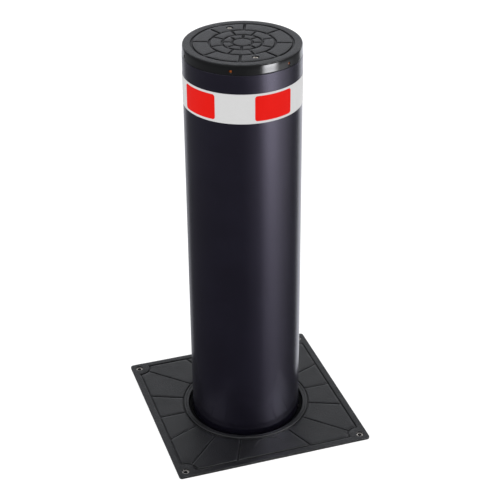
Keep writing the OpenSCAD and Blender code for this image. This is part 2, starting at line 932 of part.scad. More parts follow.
module stem_collar() {
    lug_half_w = shoe_half_w - 4;
    color(STEEL) at_ground() difference() {
        union() {
            disc(collar_r, collar_bottom, collar_t);
            around(4) translate([collar_r - 12, -lug_half_w, collar_bottom])
                cube([17, 2 * lug_half_w, collar_t]);
        }
        disc(stem_in_r - 3, collar_bottom - 1, collar_t + 2);
    }
}

module stop_ring() {
    h = guide_bottom - collar_top - 0.6;
    color(ORANGE) at_ground() ring(stem_r + 0.3, collar_r, collar_top, h);
}

module guide_shoes() {
    from = stem_in_r + 1;
    to = rail_in + 11;
    slot_half = rail_w / 2 + gap;
    color(POLYMER) at_ground() translate([0, 0, collar_bottom - shoe_h]) around(4) difference() {
        translate([from, -shoe_half_w, 0]) cube([to - from, 2 * shoe_half_w, shoe_h]);
        translate([rail_in - gap, -slot_half, -1]) cube([30, 2 * slot_half, shoe_h + 2]);
    }
}

module sensor_flag() {
    half_w = 8;
    color(ZINC) at_ground() rotate([0, 0, sensor_angle])
        translate([stem_r, -half_w, collar_bottom - flag_t])
            cube([flag_tip - stem_r, 2 * half_w, flag_t]);
}

module head_plate() {
    color(STEEL) at_ground() difference() {
        disc(stem_in_r - 0.1, head_plate_z, head_plate_t);
        for (side = [-1, 1])
            translate([0, side * boss_pos, 0])
                disc(cap_screw_hole_r, head_plate_z - 1, head_plate_t + 2);
        around(4) translate([rod_bolt_r, 0, 0]) disc(3.2, head_plate_z - 1, 11);
        at_lamp_lead() disc(4, head_plate_z - 1, head_plate_t + 2);
    }
}

module screw_bosses() {
    z = head_plate_z + head_plate_t;
    color(STEEL) at_ground() {
        for (side = [-1, 1]) {
            translate([0, side * boss_pos, 0])
                ring(cap_screw_hole_r, boss_r, z, rise - cap_top_t - z);
            translate([side * 91, 0, 0]) disc(3, z, board_z - z);
        }
    }
}

module cap_pattern() {
    w = cap_groove_w;
    d = cap_groove_depth;
    step = 22.5;
    for (r = cap_ring_r) ring_groove(r, rise, w, d);
    around(8, cap_turn + step) straight_groove(cap_ring_r[0], cap_ring_r[1], rise, w, d);
    around(8, cap_turn) straight_groove(cap_ring_r[1], cap_ring_r[2], rise, w, d);
    around(8, cap_turn + step) straight_groove(cap_ring_r[2], cap_ring_r[3], rise, w, d);
}

module head_cap() {
    bottom = tube_top + gasket_t;
    color(CAP) at_ground() difference() {
        rotate_extrude() polygon([
            [0, rise], [stem_r - 1.6, rise], [stem_r - 0.5, rise - 0.5], [stem_r, rise - 1.6],
            [stem_r, bottom], [cap_lip_r, bottom], [cap_lip_r, bottom - 7],
            [cap_inner_r, bottom - 7], [cap_inner_r, rise - cap_top_t], [0, rise - cap_top_t]
        ]);
        cap_pattern();
        for (side = [-1, 1]) translate([0, side * boss_pos, 0]) {
            disc(cap_screw_hole_r, rise - 20, 30);
            disc(cap_well_r, rise - 6, 10);
        }
        around(lamp_count, lamp_turn) translate([0, 0, lamp_z]) rotate([0, 90, 0])
            disc(lamp_r + 0.1, cap_inner_r - 2, 20);
    }
}

module cap_gasket() {
    color(RUBBER) at_ground() ring(cap_lip_r + 0.2, stem_r - 0.4, tube_top, gasket_t);
}

module cap_screws() {
    color(STAINLESS) at_ground() for (side = [-1, 1]) translate([0, side * boss_pos, 0]) {
        disc(cap_screw_r, head_plate_z + 2, rise - 6 - head_plate_z - 2);
        translate([0, 0, rise - 6]) screw_head(cap_screw_head_r, 5, 2.5);
    }
}

module led_board() {
    board_t = 1.6;
    color(BOARD_GREEN) at_ground() {
        ring(86, cap_inner_r - 1, board_z, board_t);
        around(lamp_count, lamp_turn) translate([cap_inner_r - 7, -3, board_z + board_t]) cube([5, 6, 5]);
    }
}

module led_lenses() {
    from = cap_inner_r - 1.5;
    color(AMBER) at_ground() around(lamp_count, lamp_turn) translate([0, 0, lamp_z]) rotate([0, 90, 0])
        disc(lamp_r, from, stem_r + 0.4 - from);
}

module reflective_band() {
    color(FILM_WHITE) at_ground() ring(stem_r, stem_r + band_t, band_z, band_h);
}

module patch_outline() {
    r = patch_corner_r;
    square([patch_w, patch_h - 2 * r], center = true);
    square([patch_w - 2 * r, patch_h], center = true);
    for (x = [-1, 1], y = [-1, 1])
        translate([x * (patch_w / 2 - r), y * (patch_h / 2 - r)]) circle(r = r);
}

module red_patches() {
    inner = stem_r + band_t;
    color(FILM_RED) at_ground() for (turn = patch_at)
        rotate([0, 0, turn]) intersection() {
            ring(inner, inner + patch_t, patch_z - 1, patch_h + 2);
            translate([0, 0, patch_z + patch_h / 2]) rotate([90, 0, 90])
                linear_extrude(150) patch_outline();
        }
}

module push_rod() {
    color(STAINLESS) at_ground() difference() {
        union() {
            disc(rod_r, nut_top, head_plate_z - nut_top);
            disc(rod_flange_r, head_plate_z - rod_flange_t, rod_flange_t);
        }
        disc(rod_in_r, nut_top - 1, head_plate_z - 9 - nut_top);
        around(4) translate([rod_bolt_r, 0, 0])
            disc(3.2, head_plate_z - rod_flange_t - 1, rod_flange_t + 2);
    }
}

module rod_bolts() {
    color(STAINLESS) at_ground() around(4) translate([rod_bolt_r, 0, head_plate_z - rod_flange_t]) {
        cylinder(r = 3, h = rod_flange_t + 8);
        mirror([0, 0, 1]) screw_head(4.2, 4, 2.2);
    }
}

module drive_nut() {
    color(BRONZE) at_ground() difference() {
        union() {
            disc(actuator_in_r - gap, nut_bottom, nut_h);
            disc(rod_in_r - 0.1, nut_top - 1, 21);
        }
        disc(screw_r + fit, nut_bottom - 1, nut_h + 30);
        for (z = [8, 46])
            rotate_extrude() translate([actuator_in_r - gap - 2, nut_bottom + z]) square([3, 6]);
    }
}

// What is drawn

casing_panels();
casing_frame();
casing_base();
anchor_lugs();
drain_spigot();
drain_grate();
conduit_gland();
earth_stud();
cover_plate();
plate_screws();
wiper_seal();
carrier_plate();
guide_tube();
guide_bushes();
guide_rails();
frame_screws();
base_plate();
bump_stops();
actuator_tube();
actuator_screws();
rod_gland();
bearing_housing();
screw_bearings();
motor_flange();
motor_housing();
motor_stator();
motor_screws();
brake_cover();
drive_belt();
belt_cover();
sensor_strip();
limit_sensors();
junction_box();
junction_lid();
lead_glands();
motor_lead();
lamp_feed();
lamp_lead();
stem_tube();
stem_collar();
stop_ring();
guide_shoes();
sensor_flag();
head_plate();
screw_bosses();
head_cap();
cap_gasket();
cap_screws();
led_board();
led_lenses();
reflective_band();
red_patches();
push_rod();
rod_bolts();
drive_nut();
drive_screw();
screw_pulley();
motor_rotor();
motor_pulley();
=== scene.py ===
"""A rising bollard, raised to its full height: the looks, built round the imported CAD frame.
Metres, +Z up, origin at the centre of the foundation casing's underside."""

import json
from collections import namedtuple
from math import asin, atan, atan2, cos, pi, radians, sin, sqrt

import bmesh
import bpy
from mathutils import Matrix, Vector, noise


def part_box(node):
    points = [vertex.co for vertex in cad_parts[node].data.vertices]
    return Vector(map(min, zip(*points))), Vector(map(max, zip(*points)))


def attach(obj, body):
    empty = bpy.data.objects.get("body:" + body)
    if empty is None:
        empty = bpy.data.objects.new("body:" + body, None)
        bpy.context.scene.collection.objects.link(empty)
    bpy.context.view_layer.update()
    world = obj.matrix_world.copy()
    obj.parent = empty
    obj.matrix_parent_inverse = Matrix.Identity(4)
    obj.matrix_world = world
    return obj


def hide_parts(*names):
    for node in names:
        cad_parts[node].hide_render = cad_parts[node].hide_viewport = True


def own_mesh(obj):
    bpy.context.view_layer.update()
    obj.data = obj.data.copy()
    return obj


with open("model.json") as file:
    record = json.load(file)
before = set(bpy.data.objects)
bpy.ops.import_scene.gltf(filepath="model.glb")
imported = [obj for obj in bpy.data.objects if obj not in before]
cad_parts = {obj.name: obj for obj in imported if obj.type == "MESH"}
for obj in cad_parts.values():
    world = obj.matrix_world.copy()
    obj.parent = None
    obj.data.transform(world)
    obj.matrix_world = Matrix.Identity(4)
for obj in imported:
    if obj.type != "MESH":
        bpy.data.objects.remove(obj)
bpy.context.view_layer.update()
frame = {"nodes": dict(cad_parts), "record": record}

MM = 0.001

# Thicknesses of the plate and of the tube's wall, in metres
PLATE_T = 5 * MM
STEM_WALL = 6 * MM

# Places and sizes from the frame, in metres
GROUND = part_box("casing_frame")[1].z + PLATE_T
PLATE_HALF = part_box("cover_plate")[1].x
HUB_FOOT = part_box("cover_plate")[0].z
STEM_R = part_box("stem_tube")[1].x
STEM_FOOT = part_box("stem_tube")[0].z
STEM_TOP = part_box("stem_tube")[1].z
CAP_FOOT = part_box("head_cap")[0].z
CAP_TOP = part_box("head_cap")[1].z
GASKET_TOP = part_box("cap_gasket")[1].z
BAND_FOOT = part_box("reflective_band")[0].z
BAND_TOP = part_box("reflective_band")[1].z
BAND_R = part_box("reflective_band")[1].x
PATCH_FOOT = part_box("red_patches")[0].z
PATCH_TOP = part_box("red_patches")[1].z
LAMP_LOW, LAMP_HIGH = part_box("led_lenses")
LEAD_LOW, LEAD_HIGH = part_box("lamp_lead")

# The camera stands where the photograph was taken from
CAMERA_AZIMUTH = -18.08
CAMERA_ELEVATION = 30.24
CAMERA_ROLL = -0.40
CAMERA_DISTANCE = 2.670
CAMERA_AIM = Vector((0.0118, 0.0002, GROUND + 0.3597))
CAMERA_LENS = 98.3


# ---------------------------------------------------------------- materials


class Graph:
    """A node tree. Each method adds a node and gives its output."""

    def __init__(self, tree):
        self.nodes = tree.nodes
        self.links = tree.links

    def put(self, socket, value):
        if isinstance(value, bpy.types.NodeSocket):
            self.links.new(value, socket)
        elif socket.type == "RGBA" and len(value) == 3:
            socket.default_value = (*value, 1)
        else:
            socket.default_value = value

    def add(self, kind, inputs=None, **settings):
        node = self.nodes.new(kind)
        for key, value in settings.items():
            setattr(node, key, value)
        for key, value in (inputs or {}).items():
            self.put(node.inputs[key], value)
        return node

    def calc(self, operation, a, b):
        return self.add("ShaderNodeMath", {0: a, 1: b}, operation=operation).outputs[0]

    def times(self, value, *factors):
        for factor in factors:
            value = self.calc("MULTIPLY", value, factor)
        return value

    def plus(self, value, *others):
        for other in others:
            value = self.calc("ADD", value, other)
        return value

    def remap(self, value, low, high, to_low=0.0, to_high=1.0):
        """A soft step between two values. With low above high, it runs the other way."""
        inputs = {"Value": value, "From Min": low, "From Max": high, "To Min": to_low, "To Max": to_high}
        return self.add("ShaderNodeMapRange", inputs, interpolation_type="SMOOTHSTEP").outputs["Result"]

    def mix(self, share, a, b, blend="MIX"):
        node = self.add("ShaderNodeMix", data_type="RGBA", blend_type=blend)
        self.put(node.inputs["Factor"], share)
        colours = [socket for socket in node.inputs if socket.type == "RGBA"]
        for socket, value in zip(colours, (a, b)):
            self.put(socket, value)
        return next(socket for socket in node.outputs if socket.type == "RGBA")


class Look(Graph):
    """A material, with its pattern fixed to the piece."""

    def __init__(self, name, **settings):
        self.material = bpy.data.materials.new(name)
        self.material.use_nodes = True
        super().__init__(self.material.node_tree)
        self.shader = self.nodes["Principled BSDF"]
        self.place = self.add("ShaderNodeTexCoord").outputs["Object"]
        self.set(**settings)

    def set(self, **settings):
        for key, value in settings.items():
            self.put(self.shader.inputs[key.replace("_", " ")], value)

    def stretched(self, stretch):
        """The place, squeezed along each axis, so that a pattern is drawn out along the others."""
        inputs = {"Vector": self.place, "Scale": stretch}
        return self.add("ShaderNodeMapping", inputs).outputs["Vector"]

    def noise(self, size, detail=3.0, rough=0.55, stretch=None):
        """Cloudy noise from 0 to 1, with features about this size in metres."""
        place = self.stretched(stretch) if stretch else self.place
        inputs = {"Vector": place, "Scale": 1 / size, "Detail": detail, "Roughness": rough}
        return self.add("ShaderNodeTexNoise", inputs).outputs["Fac"]

    def cells(self, size, feature="F1", output="Distance", stretch=None):
        place = self.stretched(stretch) if stretch else self.place
        node = self.add("ShaderNodeTexVoronoi", {"Vector": place, "Scale": 1 / size}, feature=feature)
        return node.outputs[output]

    def bump(self, height, distance, normal=None):
        inputs = {"Height": height, "Distance": distance, "Strength": 1.0}
        if normal:
            inputs["Normal"] = normal
        return self.add("ShaderNodeBump", inputs).outputs["Normal"]

    def facing_up(self):
        """1 where the surface faces up, 0 where it is upright."""
        normal = self.add("ShaderNodeTexCoord").outputs["Normal"]
        up = self.add("ShaderNodeSeparateXYZ", {0: normal}).outputs["Z"]
        return self.remap(up, 0.35, 0.8)

    def ridges(self):
        """1 on convex edges, 0 in hollows and on the flat."""
        pointed = self.add("ShaderNodeNewGeometry").outputs["Pointiness"]
        return self.remap(pointed, 0.505, 0.56)

    def hollows(self):
        pointed = self.add("ShaderNodeNewGeometry").outputs["Pointiness"]
        return self.remap(pointed, 0.495, 0.44)


def shade(colour, factor):
    return tuple(c * factor for c in colour)


def stem_paint():
    look = Look("stem_enamel", Specular_Tint=(1.07, 1.0, 1.28, 1))
    clouds = look.noise(70 * MM, 4)
    colour = look.mix(look.remap(clouds, 0.3, 0.7), (0.0044, 0.0038, 0.0076), (0.0056, 0.0050, 0.0098))
    rubbed = look.noise(9 * MM, 4, stretch=(1, 1, 0.03))
    dust = look.remap(look.cells(13 * MM), 0.05, 0.02)
    colour = look.mix(look.times(dust, 0.3), colour, (0.08, 0.075, 0.08))
    look.set(Base_Color=colour)
    rough = look.remap(rubbed, 0.25, 0.75, 0.235, 0.255)
    look.set(Roughness=look.plus(rough, look.times(dust, 0.2)))
    peel = look.noise(1.8 * MM, 2)
    long_waves = look.noise(45 * MM, 1, stretch=(1, 1, 0.4))
    normal = look.bump(long_waves, 0.2 * MM)
    look.set(Normal=look.bump(peel, 0.008 * MM, normal))
    return look.material


def cap_paint():
    look = Look("cap_casting", IOR=1.55)
    top = look.facing_up()
    grain = look.noise(2.2 * MM, 5, 0.7)
    pits = look.cells(3.0 * MM)
    clouds = look.noise(30 * MM, 4)
    face = look.mix(look.remap(clouds, 0.3, 0.7), (0.005, 0.0052, 0.0058), (0.010, 0.0103, 0.0113))
    worn = look.times(look.ridges(), look.remap(look.noise(6 * MM, 4), 0.4, 0.65))
    face = look.mix(look.times(worn, 0.35), face, (0.06, 0.06, 0.062))
    # Painted shade: the hollows of the grooves are darkened in the colour.
    face = look.mix(look.times(look.hollows(), 0.5), face, (0.002, 0.002, 0.0025))
    speck = look.remap(grain, 0.3, 0.7, 0.55, 1.5)
    face = look.mix(1.0, face, speck, "MULTIPLY")
    # Painted shade: the upright side is given a darker colour than the top face.
    look.set(Base_Color=look.mix(top, (0.0035, 0.0036, 0.0040), face))
    look.set(Roughness=look.remap(top, 0, 1, 0.13, 0.40))
    height = look.plus(grain, look.times(pits, 0.7))
    height = look.times(height, look.remap(top, 0, 1, 0.02, 1.0))
    look.set(Normal=look.bump(height, 0.55 * MM))
    return look.material


def cast_plate():
    look = Look("plate_casting", IOR=1.52)
    top = look.facing_up()
    grain = look.noise(2.0 * MM, 5, 0.7)
    pits = look.cells(2.6 * MM)
    clouds = look.noise(60 * MM, 5)
    base = look.mix(look.remap(clouds, 0.3, 0.7), (0.0032, 0.0034, 0.0036), (0.0065, 0.0068, 0.0072))
    worn = look.times(look.ridges(), look.remap(look.noise(8 * MM, 4), 0.35, 0.6))
    base = look.mix(look.times(worn, 0.12), base, (0.06, 0.06, 0.062))
    # Painted shade: the hollows of the grooves are darkened in the colour.
    base = look.mix(look.times(look.hollows(), 0.6), base, (0.0015, 0.0015, 0.0015))
    speck = look.remap(grain, 0.3, 0.7, 0.6, 1.5)
    look.set(Base_Color=look.mix(1.0, base, speck, "MULTIPLY"))
    look.set(Roughness=look.remap(look.noise(25 * MM, 3), 0.3, 0.7, 0.30, 0.40))
    height = look.plus(grain, look.times(pits, 0.7))
    height = look.times(height, look.remap(top, 0, 1, 0.4, 1.0))
    look.set(Normal=look.bump(height, 0.42 * MM))
    return look.material


def film(name, colour, rough, bead, depth):
    """Reflective film: tiny glass beads under a matt face."""
    look = Look(name, Specular_IOR_Level=0.12)
    beads = look.cells(bead)
    clouds = look.noise(40 * MM, 3)
    dull = look.mix(look.remap(beads, 0.1, 0.6), shade(colour, 1.03), shade(colour, 0.93))
    scuffs = look.remap(look.noise(5 * MM, 5, stretch=(1, 1, 0.25)), 0.62, 0.75)
    dull = look.mix(look.times(scuffs, 0.06), dull, shade(colour, 0.55))
    look.set(Base_Color=look.mix(look.remap(clouds, 0.3, 0.7, 0, 0.25), dull, shade(colour, 0.95)))
    look.set(Roughness=look.remap(clouds, 0.3, 0.7, rough, rough + 0.1))
    look.set(Normal=look.bump(beads, depth))
    return look.material


def amber_lens():
    look = Look("amber_lens", IOR=1.49, Coat_Weight=0.2, Transmission_Weight=0.25)
    ribs = look.noise(0.8 * MM, 1)
    look.set(Base_Color=look.mix(look.remap(ribs, 0.3, 0.7), (0.20, 0.040, 0.002), (0.34, 0.085, 0.005)))
    look.set(Roughness=look.remap(ribs, 0.3, 0.7, 0.08, 0.2))
    look.set(Emission_Color=(1.0, 0.22, 0.02, 1), Emission_Strength=0.02)
    look.set(Normal=look.bump(ribs, 0.1 * MM))
    return look.material


def soft_polymer(name, colour, rough, grain, depth, dust=(0.2, 0.19, 0.18), **settings):
    """Rubber, moulded plastic and lead jackets: a fine grain with dust in it."""
    look = Look(name, **settings)
    fine = look.noise(grain, 4, 0.65)
    clouds = look.noise(35 * MM, 4)
    base = look.mix(look.remap(fine, 0.3, 0.7), shade(colour, 0.85), shade(colour, 1.12))
    dusty = look.remap(clouds, 0.5, 0.75, 0, 0.18)
    look.set(Base_Color=look.mix(dusty, base, dust))
    look.set(Roughness=look.remap(clouds, 0.3, 0.7, rough - 0.06, rough + 0.08))
    look.set(Normal=look.bump(fine, depth))
    return look.material


def machined(name, colour, rough, stretch=(1, 1, 14), grain=0.5 * MM):
    """Bare metal with tool marks round the turned axis, painted shade in its hollows, and a little grime.
    """
    look = Look(name, Metallic=1.0)
    marks = look.noise(grain * 8, 5, 0.7, stretch)
    clouds = look.noise(28 * MM, 4)
    base = look.mix(look.remap(marks, 0.3, 0.7), shade(colour, 0.86), colour)
    # Painted shade: hollows are darkened in the colour.
    base = look.mix(look.hollows(), base, shade(colour, 0.12))
    grime = look.remap(clouds, 0.5, 0.8, 0, 0.45)
    look.set(Base_Color=look.mix(grime, base, shade(colour, 0.45)))
    look.set(Roughness=look.remap(look.plus(marks, grime), 0.3, 1.1, rough - 0.07, rough + 0.2))
    look.set(Normal=look.bump(marks, 0.03 * MM))
    return look.material


def galvanised():
    look = Look("galvanised", Metallic=0.9)
    spangle = look.cells(16 * MM, output="Color")
    tone = look.add("ShaderNodeSeparateColor", {0: spangle}).outputs[0]
    bloom = look.noise(45 * MM, 5)
    base = look.mix(look.remap(tone, 0, 1), (0.38, 0.40, 0.42), (0.56, 0.58, 0.60))
    look.set(Base_Color=look.mix(look.remap(bloom, 0.5, 0.75, 0, 0.5), base, (0.62, 0.63, 0.63)))
    look.set(Roughness=look.remap(tone, 0, 1, 0.34, 0.52))
    height = look.plus(look.noise(2 * MM, 3), look.times(tone, 0.4))
    look.set(Normal=look.bump(height, 0.05 * MM))
    return look.material


def painted(name, colour, rough, peel=1.6 * MM):
    """Sprayed paint over metal: orange peel, and paler where an edge has worn."""
    look = Look(name, Coat_Weight=0.2, Coat_Roughness=0.1)
    skin = look.noise(peel, 3)
    clouds = look.noise(50 * MM, 4)
    base = look.mix(look.remap(clouds, 0.3, 0.7), shade(colour, 0.85), shade(colour, 1.1))
    worn = look.times(look.ridges(), look.remap(look.noise(4 * MM, 4), 0.5, 0.7))
    look.set(Base_Color=look.mix(worn, base, (0.35, 0.34, 0.33)))
    look.set(Roughness=look.remap(clouds, 0.3, 0.7, rough - 0.05, rough + 0.08))
    look.set(Normal=look.bump(skin, 0.03 * MM))
    return look.material


def copper_winding():
    look = Look("copper_winding", Metallic=0.8, Coat_Weight=0.6, Coat_Roughness=0.12)
    strands = look.add(
        "ShaderNodeTexWave",
        {"Vector": look.place, "Scale": 700, "Distortion": 1.5, "Detail": 2},
        bands_direction="Z",
    ).outputs["Fac"]
    look.set(Base_Color=look.mix(strands, (0.32, 0.10, 0.035), (0.72, 0.30, 0.12)))
    look.set(Roughness=look.remap(strands, 0, 1, 0.45, 0.25))
    look.set(Normal=look.bump(strands, 0.3 * MM))
    return look.material


def board_green():
    look = Look("lamp_board", Coat_Weight=0.5, Coat_Roughness=0.15)
    tracks = look.remap(look.cells(4 * MM, "DISTANCE_TO_EDGE"), 0.05, 0.09)
    weave = look.noise(0.6 * MM, 2)
    base = look.mix(look.remap(weave, 0.3, 0.7), (0.010, 0.085, 0.035), (0.016, 0.12, 0.05))
    look.set(Base_Color=look.mix(tracks, (0.03, 0.20, 0.09), base))
    look.set(Roughness=look.remap(weave, 0.3, 0.7, 0.32, 0.45))
    look.set(Normal=look.bump(tracks, 0.06 * MM))
    return look.material


LOOKS = {
    "stem_paint": stem_paint(),
    "cap_paint": cap_paint(),
    "cast_plate": cast_plate(),
    "white_film": film("white_film", (0.66, 0.66, 0.66), 0.55, 0.9 * MM, 0.02 * MM),
    "red_film": film("red_film", (0.765, 0.0070, 0.0032), 0.5, 0.9 * MM, 0.01 * MM),
    "amber_lens": amber_lens(),
    "rubber": soft_polymer(
        "rubber",
        (0.004, 0.004, 0.0045),
        0.7,
        0.9 * MM,
        0.06 * MM,
        dust=(0.02, 0.02, 0.02),
        Specular_IOR_Level=0.15,
    ),
    "stainless": machined("stainless", (0.50, 0.47, 0.43), 0.28),
    "zinc": galvanised(),
    "steel": machined("steel", (0.36, 0.35, 0.35), 0.42),
    "bearing_steel": machined("bearing_steel", (0.66, 0.66, 0.67), 0.2),
    "chrome_rod": machined("chrome_rod", (0.72, 0.72, 0.74), 0.12, (1, 1, 30)),
    "alloy": machined("alloy", (0.58, 0.59, 0.61), 0.38, (1, 1, 1), 0.3 * MM),
    "bronze": machined("bronze", (0.60, 0.36, 0.13), 0.32),
    "white_polymer": soft_polymer("white_polymer", (0.72, 0.71, 0.66), 0.48, 1.2 * MM, 0.03 * MM),
    "orange_polymer": soft_polymer("orange_polymer", (0.60, 0.20, 0.03), 0.45, 1.2 * MM, 0.03 * MM),
    "black_polymer": soft_polymer("black_polymer", (0.018, 0.018, 0.020), 0.42, 0.7 * MM, 0.04 * MM),
    "grey_polymer": soft_polymer("grey_polymer", (0.33, 0.34, 0.36), 0.46, 0.8 * MM, 0.05 * MM),
    "motor_paint": painted("motor_paint", (0.050, 0.058, 0.066), 0.42),
    "copper_winding": copper_winding(),
    "board_green": board_green(),
    "belt_rubber": soft_polymer("belt_rubber", (0.014, 0.014, 0.015), 0.7, 1.5 * MM, 0.12 * MM),
    "lead_jacket": soft_polymer("lead_jacket", (0.016, 0.016, 0.018), 0.38, 0.5 * MM, 0.02 * MM),
}

for part in frame["record"]["subparts"]:
    mesh = frame["nodes"][part["node"]].data
    mesh.materials.clear()
    mesh.materials.append(LOOKS[part["material_slot"]])


# ---------------------------------------------------------------- mesh tools


def add_mesh(name, points, faces):
    mesh = bpy.data.meshes.new(name)
    mesh.from_pydata([tuple(p) for p in points], [], faces)
    work = bmesh.new()
    work.from_mesh(mesh)
    bmesh.ops.recalc_face_normals(work, faces=work.faces)
    work.to_mesh(mesh)
    work.free()
    piece = bpy.data.objects.new(name, mesh)
    bpy.context.scene.collection.objects.link(piece)
    return piece


def finish_piece(piece, body, slot, *nodes, sharp=38):
    """Smooths the piece except across sharp corners, gives it its finish and lets it ride."""
    piece.data.shade_smooth()
    piece.data.set_sharp_from_angle(angle=radians(sharp))
    piece.data.materials.clear()
    piece.data.materials.append(LOOKS[slot])
    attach(piece, body)
    if nodes:
        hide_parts(*nodes)
    return piece


def finish_set(pieces, body, slot, node, sharp=38):
    """Finishes pieces that stand for one CAD node together. The first hides the node."""
    for piece in pieces:
        finish_piece(piece, body, slot, *([node] if piece is pieces[0] else []), sharp=sharp)


def loft(rings, closed=False):
    """A skin over rings of equally many points.
    Closed, the last ring joins the first; otherwise both ends are capped."""
    count = len(rings[0])
    points = [p for ring in rings for p in ring]
    faces = []
    for i in range(len(rings) if closed else len(rings) - 1):
        here = i * count
        there = (i + 1) % len(rings) * count
        for j in range(count):
            k = (j + 1) % count
            faces.append((here + j, here + k, there + k, there + j))
    if not closed:
        faces.append(tuple(range(count)))
        faces.append(tuple(range(len(points) - count, len(points))))
    return points, faces


def circle(r, z, count):
    return [Vector((r * cos(2 * pi * i / count), r * sin(2 * pi * i / count), z)) for i in range(count)]


def turned(profile, count):
    """The rings of a turned shape, from the radius and the height of each."""
    return [circle(r, z, count) for r, z in profile]


def hexagon(across, z, count):
    """As many points as a circle has, on a hexagon with this radius to its flats."""
    side = pi / 3
    ring = []
    for i in range(count):
        a = 2 * pi * i / count
        r = across / cos(a % side - side / 2)
        ring.append(Vector((r * cos(a), r * sin(a), z)))
    return ring


def moved(rings, matrix):
    return [[matrix @ p for p in ring] for ring in rings]


def carve(piece, tools, operation="DIFFERENCE"):
    """Cuts the tools out of the piece, or adds them to it."""
    for tool in tools:
        change = piece.modifiers.new("carve", "BOOLEAN")
        change.operation = operation
        change.solver = "MANIFOLD"
        change.object = tool
    bpy.context.view_layer.update()
    done = piece.evaluated_get(bpy.context.evaluated_depsgraph_get())
    mesh = bpy.data.meshes.new_from_object(done)
    piece.modifiers.clear()
    piece.data = mesh
    for tool in tools:
        bpy.data.objects.remove(tool)


def soft_step(x, low, high):
    """From 0 to 1 between two values."""
    t = min(max((x - low) / (high - low), 0), 1)
    return t * t * (3 - 2 * t)


def soft_min(a, b, blend):
    """The smaller value, rounded over where the two are within the blend of each other."""
    near = max(blend - abs(a - b), 0) / blend
    return min(a, b) - near * near * blend / 4


def groove_depth(near, width, depth):
    """Depth of a cast groove with steep walls, this far from its middle."""
    return depth * (1 - soft_step(near, 0.22 * width, 0.5 * width))


def unevenness(point, size, height):
    """A casting is never quite flat."""
    return height * noise.noise(point / size)


# Further away than any groove, and the points of a groove's cross-section, in mm from its middle
FAR = 1000.0
ACROSS_GROOVE = (-2.7, -1.8, -1.4, -1.0, 0.0, 1.0, 1.4, 1.8, 2.7)


def upright(x, y, z, rotation=0.0):
    return Matrix.Translation((x, y, z)) @ Matrix.Rotation(rotation, 4, "Z")


# ---------------------------------------------------------------- stem

ROUND = 256


def build_stem():
    """The tube, with its ends just broken. Its long faces are smooth: the paint carries the texture."""
    inner = STEM_R - STEM_WALL
    edge = 0.3 * MM
    profile = [
        (STEM_R - edge, STEM_FOOT),
        (STEM_R, STEM_FOOT + edge),
        (STEM_R, STEM_FOOT + 4 * edge),
        (STEM_R, STEM_TOP - 4 * edge),
        (STEM_R, STEM_TOP - edge),
        (STEM_R - edge, STEM_TOP),
        (inner + edge, STEM_TOP),
        (inner, STEM_TOP - edge),
        (inner, STEM_FOOT + edge),
        (inner + edge, STEM_FOOT),
    ]
    skin = add_mesh("stem_skin", *loft(turned(profile, ROUND), closed=True))
    finish_piece(skin, "stem", "stem_paint", "stem_tube")


def build_band():
    """Film wrapped once round the stem, its ends overlapping at the back."""
    inner = STEM_R - 0.1 * MM
    edge = 0.12 * MM
    lap_at = radians(112)
    lap_half = radians(3.5)
    lap_height = 0.2 * MM
    profile = [
        (inner, BAND_FOOT),
        (BAND_R - edge, BAND_FOOT),
        (BAND_R, BAND_FOOT + edge),
        (BAND_R, BAND_FOOT + 8 * edge),
        (BAND_R, BAND_TOP - 8 * edge),
        (BAND_R, BAND_TOP - edge),
        (BAND_R - edge, BAND_TOP),
        (inner, BAND_TOP),
    ]
    rings = turned(profile, ROUND)
    for (r, _), ring in zip(profile, rings):
        for p in ring:
            if r > inner and abs(atan2(p.y, p.x) - lap_at) < lap_half:
                p.xy *= 1 + lap_height / r
    film = add_mesh("band_film", *loft(rings, closed=True))
    finish_piece(film, "stem", "white_film", "reflective_band")


PATCH_ANGLES = (-154.3, -77, 25.7, 103)
PATCH_W = 75 * MM
PATCH_CORNER = 5 * MM
PATCH_LIFT = 0.3 * MM
PATCH_ACROSS = 44
PATCH_UP = 12


def patch_layer(centre, inset, height):
    """A grid of points over a rounded rectangle wrapped round the band, drawn in by the inset."""
    half_w = PATCH_W / 2
    half_h = (PATCH_TOP - PATCH_FOOT) / 2
    middle = (PATCH_TOP + PATCH_FOOT) / 2
    r = BAND_R + height
    layer = []
    for i in range(PATCH_ACROSS + 1):
        along = -cos(pi * i / PATCH_ACROSS) * (half_w - inset)
        past = max(abs(along) - (half_w - PATCH_CORNER), 0)
        rise = sqrt(max(PATCH_CORNER**2 - past**2, 0)) + half_h - PATCH_CORNER - inset
        a = centre + along / BAND_R
        for j in range(PATCH_UP + 1):
            z = middle + rise * (2 * j / PATCH_UP - 1)
            layer.append(Vector((r * cos(a), r * sin(a), z)))
    return layer


def patch_rim():
    """The outer points of a layer's grid, in order round it."""
    column = PATCH_UP + 1
    rim = [i * column for i in range(PATCH_ACROSS + 1)]
    rim += [PATCH_ACROSS * column + j for j in range(1, PATCH_UP + 1)]
    rim += [i * column + PATCH_UP for i in range(PATCH_ACROSS - 1, -1, -1)]
    rim += range(PATCH_UP - 1, 0, -1)
    return rim


def patch_faces():
    """Three layers: the lowest and the highest are filled, and walls join their rims."""
    column = PATCH_UP + 1
    size = (PATCH_ACROSS + 1) * column
    rim = patch_rim()
    faces = []
    for base in (0, 2 * size):
        for i in range(PATCH_ACROSS):
            for j in range(PATCH_UP):
                a = base + i * column + j
                b = a + column
                faces.append((a, b, b + 1, a + 1))
    for base in (0, size):
        for a, b in zip(rim, rim[1:] + rim[:1]):
            faces.append((base + a, base + b, base + size + b, base + size + a))
    return faces


